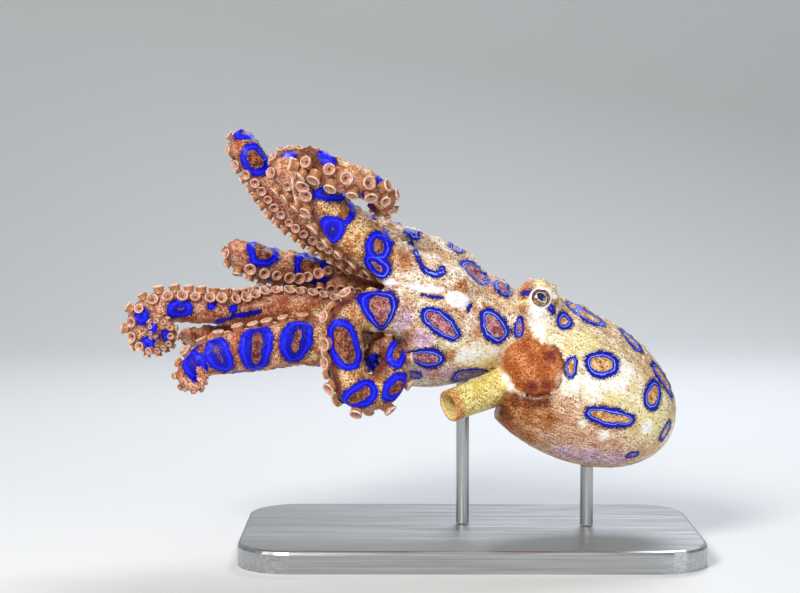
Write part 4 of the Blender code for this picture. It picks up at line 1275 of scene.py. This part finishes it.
def make_eye(side_name, sign, material):
    """An eyeball with the distance from its slanting pupil, and the height, at each vertex."""
    _, centre, look = eye_frame(sign)
    across = unit(np.cross(look, UP)) * -sign
    upward = np.cross(look, across) * sign

    def on_ball(row, i):
        turn = math.tau * i / EYE_SIDES
        around = across * math.cos(turn) + upward * math.sin(turn)
        return centre + (look * row[1] + around * row[0]) * EYEBALL_RADIUS

    middle = [(math.sin(turn), math.cos(turn)) for turn in
              (math.pi * ring / EYE_RINGS for ring in range(1, EYE_RINGS))]
    vertices, faces, _ = turned([(0, 1)] + middle + [(0, -1)], EYE_SIDES, on_ball)
    eye = mesh_object("eyeball_" + side_name, vertices, faces, material)
    outwards(eye)
    offset = vertices_of(eye.data) - centre
    u, v = offset @ across * sign, offset @ upward
    lengthwise = u * math.cos(PUPIL_SLOPE) + v * math.sin(PUPIL_SLOPE)
    sideways = v * math.cos(PUPIL_SLOPE) - u * math.sin(PUPIL_SLOPE)
    pupil = ellipse((lengthwise, sideways), (PUPIL_HALF_LENGTH, PUPIL_HALF_WIDTH))
    write_values(eye, "pupil", np.where(offset @ look > 0, pupil, EYEBALL_RADIUS))
    write_values(eye, "height", v / EYEBALL_RADIUS)
    write_values(eye, "out", np.hypot(u, v))
    return eye


def outwards(obj):
    bm = bmesh.new()
    bm.from_mesh(obj.data)
    bmesh.ops.recalc_face_normals(bm, faces=bm.faces)
    bm.to_mesh(obj.data)
    bm.free()


# The lips' and beak's profile: radius and height above the dish's floor, and whether it is beak.
MOUTH_PROFILE = ((0.0, -0.4, 0), (3.1, -0.4, 0), (3.3, 0.3, 0), (3.1, 1.1, 0), (2.6, 1.7, 0),
                 (2.0, 1.9, 0), (1.45, 1.6, 0), (1.25, 1.2, 0), (1.1, 1.3, 1), (0.8, 1.9, 1),
                 (0.35, 2.3, 1), (0.0, 2.35, 1))
MOUTH_SIDES, LIP_FOLDS = 64, 16
LIP_FLUTE, LIP_WAVE = 0.07, 0.15    # share of the radius, and height in mm, of the lips' folds
DISH_FLOOR = -3.2


def make_mouth(material):
    """Round folded lips with the beak's dark tip between them."""
    axis, across = unit(CROWN_AXIS), NEAR
    upward = np.cross(axis, across)

    def on_mouth(row, i):
        radius, height, is_beak = row
        turn = math.tau * i / MOUTH_SIDES
        wave = 0 if is_beak else math.cos(LIP_FOLDS * turn)
        out = radius * (1 + (LIP_FLUTE * wave if height > 0 else 0))
        lift = height + (LIP_WAVE * wave if height > 1 else 0)
        return (CROWN_CENTRE + axis * (DISH_FLOOR + lift)
                + (across * math.cos(turn) + upward * math.sin(turn)) * out)

    vertices, faces, rows = turned(MOUTH_PROFILE, MOUTH_SIDES, on_mouth)
    mouth = mesh_object("lips_and_beak", vertices, faces, material)
    outwards(mouth)
    write_values(mouth, "beak", [is_beak for _, _, is_beak in rows])
    return mouth


# Materials ---------------------------------------------------------------------------------------

BODY_SLOPE = math.radians(22)       # how steeply the wrinkles run down towards the mantle
WRINKLE_LENGTH, WRINKLE_WIDTH = 3.5, 0.45


def new_material(name, **sockets):
    """A Principled material, with the place that its patterns go by; sockets are its fixed
    values."""
    material = bpy.data.materials.new(name)
    material.use_nodes = True
    shader = material.node_tree.nodes["Principled BSDF"]
    for socket, value in sockets.items():
        shader.inputs[socket.replace("_", " ")].default_value = value
    where = add(material.node_tree, "ShaderNodeTexCoord").outputs["Object"]
    return material, material.node_tree, shader, where


def finish_material(tree, shader, tone, relief=None, strength=1.0, depth_mm=1.0):
    """Give a material its colour and, if it has one, its fine relief."""
    feed(tree, shader.inputs["Base Color"], tone)
    if relief is not None:
        bump = add(tree, "ShaderNodeBump",
                   {"Height": relief, "Strength": strength, "Distance": depth_mm * MM})
        feed(tree, shader.inputs["Normal"], bump)


def written(tree, name):
    """The value written at each vertex under a name."""
    return add(tree, "ShaderNodeAttribute", attribute_name=name).outputs["Fac"]


def at_size(size_mm):
    """The scale at which a pattern's parts are about a size in mm across."""
    return 1 / (size_mm * MM)


def centred(tree, value, spread):
    """Noise about 0.5 turned into one about 0."""
    return add(tree, TIMES, add(tree, MINUS, value, 0.5), spread)


def grains(tree, where, size_mm):
    """Round cells about a size in mm apart: distance from each one's middle, and two chances."""
    cells = add(tree, "ShaderNodeTexVoronoi", where, at_size(size_mm))
    parted = add(tree, "ShaderNodeSeparateColor", cells.outputs["Color"])
    return cells.outputs["Distance"], parted.outputs[0], parted.outputs[1]


def wrinkles(tree, where):
    """Streaks along the body."""
    turned = add(tree, "ShaderNodeVectorRotate", {"Vector": where, "Angle": -BODY_SLOPE},
                 rotation_type="Y_AXIS")
    across = at_size(WRINKLE_WIDTH)
    mapping = add(tree, "ShaderNodeMapping",
                  {"Vector": turned, "Scale": (at_size(WRINKLE_LENGTH), across, across)})
    return add(tree, NOISE, {"Vector": mapping, "Scale": 1.0, "Detail": 2.0, "Distortion": 0.6})


# Kinds of skin: light, middle and dark tone, and the share of its colour cells that are open.
PLAIN_SKIN = ("#fffaec", "#dfbd98", "#6e3824", 0.60)
SKIN_TONES = (
    ("mantle", "#fffae0", "#e8cf98", "#8f5a2e", 0.38),
    ("dorsal", "#f8e8c8", "#c79e74", "#6f3f26", 0.60),
    ("rust", "#ecbc8a", "#b87040", "#682c14", 0.68),
    ("yellow", "#fcf6c2", "#e8d694", "#8c5e34", 0.44),
    ("belly", "#f4d6b6", "#cc9a78", "#7e4030", 0.62),
    ("arm", "#f6d6a2", "#b26c36", "#74321a", 0.64),
    ("ruddy", "#f6bf9c", "#b25a36", "#6c2820", 0.66),
    ("oral", "#d8a890", "#a4604c", "#5a2420", 0.55),
    # inner: the web's darker inner side, partly its own colour and partly painted shade.
    ("inner", "#8c4c38", "#5c281e", "#240a0a", 0.60),
    ("funnel", "#fbf0a6", "#dcc468", "#76501e", 0.60),
    ("lip", "#e6ae66", "#b8703a", "#6e3414", 0.50),
    ("collar", "#de9258", "#a8541f", "#6a2208", 0.62),
    # brown: brown skin, and painted shade where its patches lie low under the collar.
    ("brown", "#dc9c60", "#a2562a", "#521e0c", 0.70),
    ("lilac", "#f4dcea", "#c898b4", "#723464", 0.55),
    ("blotch", "#9a4438", "#6c1e1c", "#3a0a10", 0.60),
    # umber: painted shade over orange-brown skin below the mantle's rim.
    ("umber", "#9a5024", "#6c3010", "#341004", 0.60),
    # white: pale skin with painted highlight in it.
    ("white", "#ffffff", "#faf4e4", "#b89464", 0.14),
    # fold: pale web with a painted highlight along it.
    ("fold", "#fffdff", "#efe8f2", "#b4a4bc", 0.05),
    ("throat", "#f0dc9c", "#d9bd78", "#a98a4c", 0.20),
)
RING_INSIDE = ("#d0989c", "#934654", "#421228")     # light, middle and dark tone inside a ring
RING_INSIDE_BY_ZONE = (
    ("mantle", "#f6cc96", "#c48448", "#743c1a"),
    ("arm", "#ac6c40", "#5e2622", "#240818"),
)

# Colour cells of two sizes: size in mm, strength, and how many more of them are open.
CELL_LAYERS = ((0.34, 0.80, 0.08), (0.52, 0.85, -0.14))

# Rings on the skin, in mm: size and spread of the two waves in the bright line and of the
# raggedness of the blue's edge, and the line's half width and where it has faded out.
RING_WAVES = ((2.6, 1.1), (0.9, 0.35))
RAGGED_SIZE, RAGGED_SPREAD = 0.40, 1.9
THREAD_HALF_WIDTH, THREAD_FADED = 0.05, 0.14
FRINGE_WIDTH = 0.8                  # dark fringe outside the blue
NEXT_TO_LINE, OFF_LINE = 0.15, 0.8  # distances between which the blue deepens
BLUES = {"body": ("#1408d0", "#0a0288"), "arm": ("#0a04ff", "#0400b4")}
THREADS = {"body": "#86b0ff", "arm": "#1c3cff"}


def blend_tones(tree, tones, weight, codes):
    return [add(tree, MIXED, weight, tone, code) for tone, code in zip(tones, codes)]


def laid_over(tree, tone, *layers):
    """A tone with colours laid over it: for each a value, the two values between which the
    colour comes in, the colour, and its greatest share if that isn't 1."""
    for value, start, full, code, *most in layers:
        share = add(tree, EASED, value, start, full, 0.0, *most)
        tone = add(tree, MIXED, share, tone, code)
    return tone


def speckled(tree, where, tones, openness, patchy):
    """Light to middle ground with fine dark colour cells, of which a share is open."""
    light, middle, dark = tones
    skin = add(tree, MIXED, add(tree, EASED, patchy, 0.40, 0.60), middle, light)
    for size, strength, more in CELL_LAYERS:
        distance, chance, tint = grains(tree, where, size)
        over = add(tree, MINUS, add(tree, PLUS, openness, more), chance)
        is_open = add(tree, EASED, over, -0.05, 0.12)
        dot = add(tree, TIMES, add(tree, EASED, distance, 0.66, 0.28), is_open)
        tone = add(tree, MIXED, add(tree, EASED, tint, 0.25, 0.95), dark, middle)
        skin = add(tree, MIXED, add(tree, TIMES, dot, strength), skin, tone)
        pale = add(tree, TIMES, add(tree, EASED, distance, 0.5, 0.2),
                   add(tree, EASED, chance, 0.76, 0.84))
        skin = add(tree, MIXED, add(tree, TIMES, pale, 0.85), skin, light)
    return skin


def draw_rings(tree, where, skin, weights):
    """Rings: a bright thread in a wide blue band with a ragged dark edge, speckled inside."""
    on_arm = weights["arm"]
    wavy = add(tree, PLUS, *(centred(tree, add(tree, NOISE, where, at_size(size), 1.0), spread)
                             for size, spread in RING_WAVES))
    ring = add(tree, PLUS, weights["ring"], wavy)
    ragged = centred(tree, add(tree, NOISE, where, at_size(RAGGED_SIZE)), RAGGED_SPREAD)
    outer = add(tree, PLUS, ring, ragged)
    inner = add(tree, PLUS, ring, add(tree, TIMES, ragged, 0.35))
    depth = add(tree, PLUS, inner, weights["inward"])       # 0 where the blue ends inwards

    tones = RING_INSIDE
    for zone, *codes in RING_INSIDE_BY_ZONE:
        tones = blend_tones(tree, tones, weights[zone], codes)
    inside = speckled(tree, where, tones, 0.6, add(tree, NOISE, where, at_size(1.2)))
    skin = add(tree, MIXED, add(tree, EASED, depth, 0.0, -0.25), skin, inside)

    specks = add(tree, EASED, grains(tree, where, 0.26)[1], 0.2, 0.8, 0.35, 1.0)
    fringe = add(tree, TIMES, add(tree, EASED, outer, BLUE_OUT + FRINGE_WIDTH, BLUE_OUT + 0.05),
                 add(tree, EASED, depth, -0.35, 0.05))
    skin = add(tree, MIXED, add(tree, TIMES, fringe, specks), skin, "#26052c")

    roughly = add(tree, MINUS, 0.55, add(tree, TIMES, on_arm, 0.35))
    edge = add(tree, PLUS, ring, add(tree, TIMES, ragged, roughly))
    band = add(tree, TIMES, add(tree, EASED, edge, BLUE_OUT + 0.1, BLUE_OUT - 0.2),
               add(tree, EASED, depth, -0.08, 0.12))
    off_line = add(tree, "ShaderNodeMath", ring, operation="ABSOLUTE")
    deeper = add(tree, EASED, off_line, NEXT_TO_LINE, OFF_LINE)
    blue = add(tree, MIXED, on_arm, *(add(tree, MIXED, deeper, *BLUES[part])
                                      for part in ("body", "arm")))
    clouded = add(tree, NOISE, where, at_size(0.6))
    blue = laid_over(tree, blue, (clouded, 0.45, 0.7, "#04016a", 0.6))
    skin = add(tree, MIXED, band, skin, blue)

    line = add(tree, EASED, off_line, THREAD_FADED, THREAD_HALF_WIDTH)
    glow = add(tree, EASED, add(tree, NOISE, where, at_size(1.5)), 0.3, 0.6, 0.5, 1.0)
    thread = add(tree, MIXED, on_arm, THREADS["body"], THREADS["arm"])
    return add(tree, MIXED, add(tree, TIMES, line, glow), skin, thread)


def rusty_places(tree, where, weights):
    """Where the body has rusty clouds: everywhere but the arms, and less on the mantle."""
    clouds = add(tree, EASED, add(tree, NOISE, where, at_size(5.0), 3.0, 0.6),
                 0.50, 0.66, 0.0, 0.85)
    off_mantle = add(tree, MINUS, 1.0, add(tree, TIMES, weights["mantle"], 0.65))
    off_arms = add(tree, MINUS, 1.0, weights["arm"])
    return add(tree, TIMES, add(tree, TIMES, clouds, off_mantle), off_arms)


def skin_material():
    """Living octopus skin: a moist film over colour cells about 0.3 mm across, that open brown
    and close to cream, with blue rings that shine from mirror cells below them."""
    material, tree, shader, where = new_material(
        "moist_octopus_skin", Roughness=0.50, Coat_Weight=0.05, Coat_Roughness=0.2,
        Specular_IOR_Level=0.22)
    names = [zone for zone, *_ in SKIN_TONES if zone != "rust"]
    weights = {name: written(tree, name)
               for name in names + ["ring", "inward", "groove", "rim", "lid"]}
    weights["rust"] = rusty_places(tree, where, weights)
    # Patches have broken edges, so noise eats into their weights.
    broken = centred(tree, add(tree, NOISE, where, at_size(1.6), 3.0, 0.6), 1.6)
    for name in [*PATCHES, "fold"]:
        eaten = add(tree, PLUS, weights[name], add(tree, TIMES, broken, weights[name]))
        weights[name] = add(tree, EASED, eaten, 0.12, 0.95)

    *tones, openness = PLAIN_SKIN
    for zone, *codes, share in SKIN_TONES:
        tones = blend_tones(tree, tones, weights[zone], codes)
        openness = add(tree, "ShaderNodeMix", weights[zone], openness, share)
    patchy = add(tree, NOISE, where, at_size(3.2), 3.0, 0.6)
    openness = add(tree, PLUS, openness, centred(tree, patchy, 1.3))
    plain = add(tree, MINUS, add(tree, MINUS, 1.0, weights["arm"]), weights["collar"])
    streaky = add(tree, TIMES, centred(tree, wrinkles(tree, where), 1.2), plain)
    openness = add(tree, PLUS, openness, streaky)
    mottle = add(tree, PLUS, patchy, add(tree, TIMES, streaky, -0.5))
    skin = speckled(tree, where, tones, openness, mottle)
    skin = draw_rings(tree, where, skin, weights)
    # The groove's dark brown laid over here is painted shade in the crease round the collar.
    for zone, share, code in (("rim", 0.75, "#f6ead2"), ("groove", 0.8, "#6a2a10"),
                              ("lid", 0.95, "#fbf8fd")):
        skin = add(tree, MIXED, add(tree, TIMES, weights[zone], share), skin, code)

    beads = add(tree, EASED, grains(tree, where, 0.55)[0], 0.6, 0.0, 0.0, 0.10)
    pores = centred(tree, add(tree, NOISE, where, at_size(0.9), 3.0), 0.22)
    relief = add(tree, PLUS, add(tree, PLUS, beads, pores), add(tree, TIMES, streaky, 0.10))
    finish_material(tree, shader, skin, relief)
    return material


def sucker_material():
    """Sucker flesh: smooth moist muscle, pale at the rim, rosy brown in the cup and down the
    fluted outside."""
    material, tree, shader, where = new_material(
        "moist_sucker_flesh", Roughness=0.40, Coat_Weight=0.2, Coat_Roughness=0.2)
    band = written(tree, "band")
    patchy = add(tree, NOISE, where, at_size(3.0))
    chance = grains(tree, where, 0.34)[1]
    # The dark base colour, showing at the hole, is painted shade in the sucker's opening.
    tone = laid_over(tree, "#5c2a22", (band, 0.1, 0.9, "#c88e78"), (band, 1.0, 1.6, "#dca890"),
                     (band, 1.6, 2.0, "#f6dcc8"), (band, 2.15, 2.9, "#b87c50"),
                     (patchy, 0.35, 0.7, "#b8784e", 0.45), (chance, 0.62, 0.95, "#6a2e1c", 0.5))
    finish_material(tree, shader, tone, add(tree, NOISE, where, at_size(0.3)), 0.4, 0.15)
    return material


def eye_material():
    """An eye: gold and rust iris round a slanting navy pupil with a pale edge, inside a dark
    line and the white lid, under a wet clear film."""
    material, tree, shader, where = new_material(
        "wet_eye", Roughness=0.12, Coat_Weight=1.0, Coat_Roughness=0.03)
    pupil, height, out = (written(tree, name) for name in ("pupil", "height", "out"))
    rust = add(tree, NOISE, where, at_size(0.5), 3.0, 0.7)
    flecks = add(tree, NOISE, where, at_size(0.3))
    tone = laid_over(tree, "#c69a4a", (height, -0.6, 0.25, "#6a3a2c"),
                     (rust, 0.42, 0.6, "#3e1c24"), (flecks, 0.58, 0.7, "#e8cf96"),
                     (pupil, 0.26, 0.16, "#e6cfd6"), (pupil, 0.10, 0.04, "#05061e"),
                     (pupil, -0.25, -0.6, "#0a1488"),
                     (out, LID_EDGE - 0.22, LID_EDGE - 0.1, "#46202c"),
                     (out, LID_EDGE - 0.03, LID_EDGE + 0.03, "#fbf8fd"))
    finish_material(tree, shader, tone)
    return material


def mouth_material():
    """Lips of pale folded skin round a horny beak."""
    material, tree, shader, where = new_material("moist_lips", Roughness=0.4, Coat_Weight=0.2)
    patchy = add(tree, NOISE, where, at_size(0.8))
    lips = laid_over(tree, "#e2b9a4", (patchy, 0.35, 0.65, "#b9806c"))
    tone = add(tree, MIXED, written(tree, "beak"), lips, "#1c120c")
    finish_material(tree, shader, tone)
    return material


STREAK_LENGTH, STREAK_WIDTH = 30, 0.4           # of the steel's brushing, in mm


def brushed_steel(name, grain_axis):
    """Satin stainless steel, brushed lengthwise, so that its streaks catch the light across."""
    material, tree, shader, where = new_material(name, Metallic=1.0)
    scale = tuple(at_size(STREAK_LENGTH if axis == grain_axis else STREAK_WIDTH)
                  for axis in "XYZ")
    mapping = add(tree, "ShaderNodeMapping", {"Vector": where, "Scale": scale})
    streaks = add(tree, NOISE, mapping, 1.0, 3.0)
    tone = laid_over(tree, "#a9abad", (streaks, 0.3, 0.7, "#c4c6c8"))
    feed(tree, shader.inputs["Roughness"], add(tree, EASED, streaks, 0.3, 0.7, 0.28, 0.42))
    finish_material(tree, shader, tone, streaks, 0.12, 0.05)
    return material


# Setting -----------------------------------------------------------------------------------------

VIEW_TARGET = Vector((-16, 0, 58)) * MM
VIEW_DISTANCE, VIEW_HEIGHT = 450 * MM, math.radians(4)
VIEW_WIDTH = 182.9 * MM             # what the picture spans at the target
SENSOR_WIDTH = 36.0
FLOOR_FRONT, FLOOR_BACK, FLOOR_HALF_WIDTH = -0.9, 0.76, 1.6
WALL_HEIGHT, SWEEP_RADIUS, SWEEP_STEPS = 0.9, 0.30, 12
PAPER_CLOUDS = 400.0                # in mm
# Lights: name, place and size in metres, power in watts, tint.
LIGHTS = (("key", (-0.28, -0.45, 0.42), 0.22, 3.6, "#fffaf2"),
          ("fill", (0.45, -0.40, 0.12), 0.35, 0.8, "#ffffff"),
          ("rim", (0.10, 0.35, 0.45), 0.25, 2.0, "#f2f6ff"))
ROOM_TINT, ROOM_STRENGTH = "#e8ecf0", 0.35


def make_camera():
    camera = bpy.data.cameras.new("camera")
    camera.sensor_width = SENSOR_WIDTH
    camera.lens = SENSOR_WIDTH * VIEW_DISTANCE / VIEW_WIDTH
    obj = bpy.data.objects.new("camera", camera)
    back = Vector((0, -math.cos(VIEW_HEIGHT), math.sin(VIEW_HEIGHT)))
    obj.location = VIEW_TARGET + back * VIEW_DISTANCE
    obj.rotation_euler = back.to_track_quat("Z", "Y").to_euler()
    bpy.context.scene.collection.objects.link(obj)
    bpy.context.scene.camera = obj


def make_floor():
    """A pale floor that sweeps up into a wall behind."""
    profile = [(FLOOR_FRONT, 0.0), (FLOOR_BACK - SWEEP_RADIUS, 0.0)]
    for step in range(1, SWEEP_STEPS + 1):
        turn = math.radians(90 * step / SWEEP_STEPS)
        profile.append((FLOOR_BACK - SWEEP_RADIUS + SWEEP_RADIUS * math.sin(turn),
                        SWEEP_RADIUS * (1 - math.cos(turn))))
    profile.append((FLOOR_BACK, WALL_HEIGHT))
    vertices = [(x, y, z) for y, z in profile for x in (-FLOOR_HALF_WIDTH, FLOOR_HALF_WIDTH)]
    faces = [(2 * i, 2 * i + 1, 2 * i + 3, 2 * i + 2) for i in range(len(profile) - 1)]
    material, tree, shader, where = new_material("matt_studio_paper", Roughness=0.8)
    tone = add(tree, MIXED, add(tree, NOISE, where, at_size(PAPER_CLOUDS)), "#d9dcde", "#e2e4e5")
    finish_material(tree, shader, tone)
    floor = mesh_object("floor", np.array(vertices) / MM, faces, material)


def make_light(name, place, size, power, tint):
    light = bpy.data.lights.new(name, "AREA")
    light.shape, light.size, light.energy = "DISK", size, power
    light.color = colour(tint)[:3]
    obj = bpy.data.objects.new(name, light)
    obj.location = place
    obj.rotation_euler = (Vector(place) - VIEW_TARGET).to_track_quat("Z", "Y").to_euler()
    bpy.context.scene.collection.objects.link(obj)


def make_setting():
    scene = bpy.context.scene
    scene.view_settings.view_transform = "Standard"
    world = bpy.data.worlds.new("studio")
    world.use_nodes = True
    background = world.node_tree.nodes["Background"]
    background.inputs["Color"].default_value = colour(ROOM_TINT)
    background.inputs["Strength"].default_value = ROOM_STRENGTH
    scene.world = world
    for light in LIGHTS:
        make_light(*light)
    make_camera()
    make_floor()


# The whole ---------------------------------------------------------------------------------------

def main():
    arms = [make_arm(name) for name in ARM_ORDER]
    skin, owner = grow_skin(arms, skin_material())
    surface = Surface(skin, arms, owner)
    mark_skin(skin, surface, arms)
    raise_warts(skin, surface, zone_skin(skin, surface))
    flesh = ["mantle", "head", "web", "collar", "funnel"]
    flesh += [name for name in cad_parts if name.startswith("arm_")]
    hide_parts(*flesh)
    suckers = make_suckers(arms, surface, sucker_material())
    pieces = [(skin, "skin"), (suckers, "skin")]
    finish = eye_material()
    for side_name, sign in (("left", 1), ("right", -1)):
        eye = make_eye(side_name, sign, finish)
        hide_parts("eye_" + side_name)
        pieces.append((eye, "eye"))
    mouth = make_mouth(mouth_material())
    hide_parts("mouth")
    pieces.append((mouth, "mouth"))
    for piece, slot in pieces:
        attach(piece, "root")
    for name, grain_axis in (("stand_base", "X"), ("stand_rod_mantle", "Z"),
                             ("stand_rod_crown", "Z")):
        metal = brushed_steel(name + "_brushed_steel", grain_axis)
        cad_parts[name].material_slots[0].material = metal
    make_setting()


main()
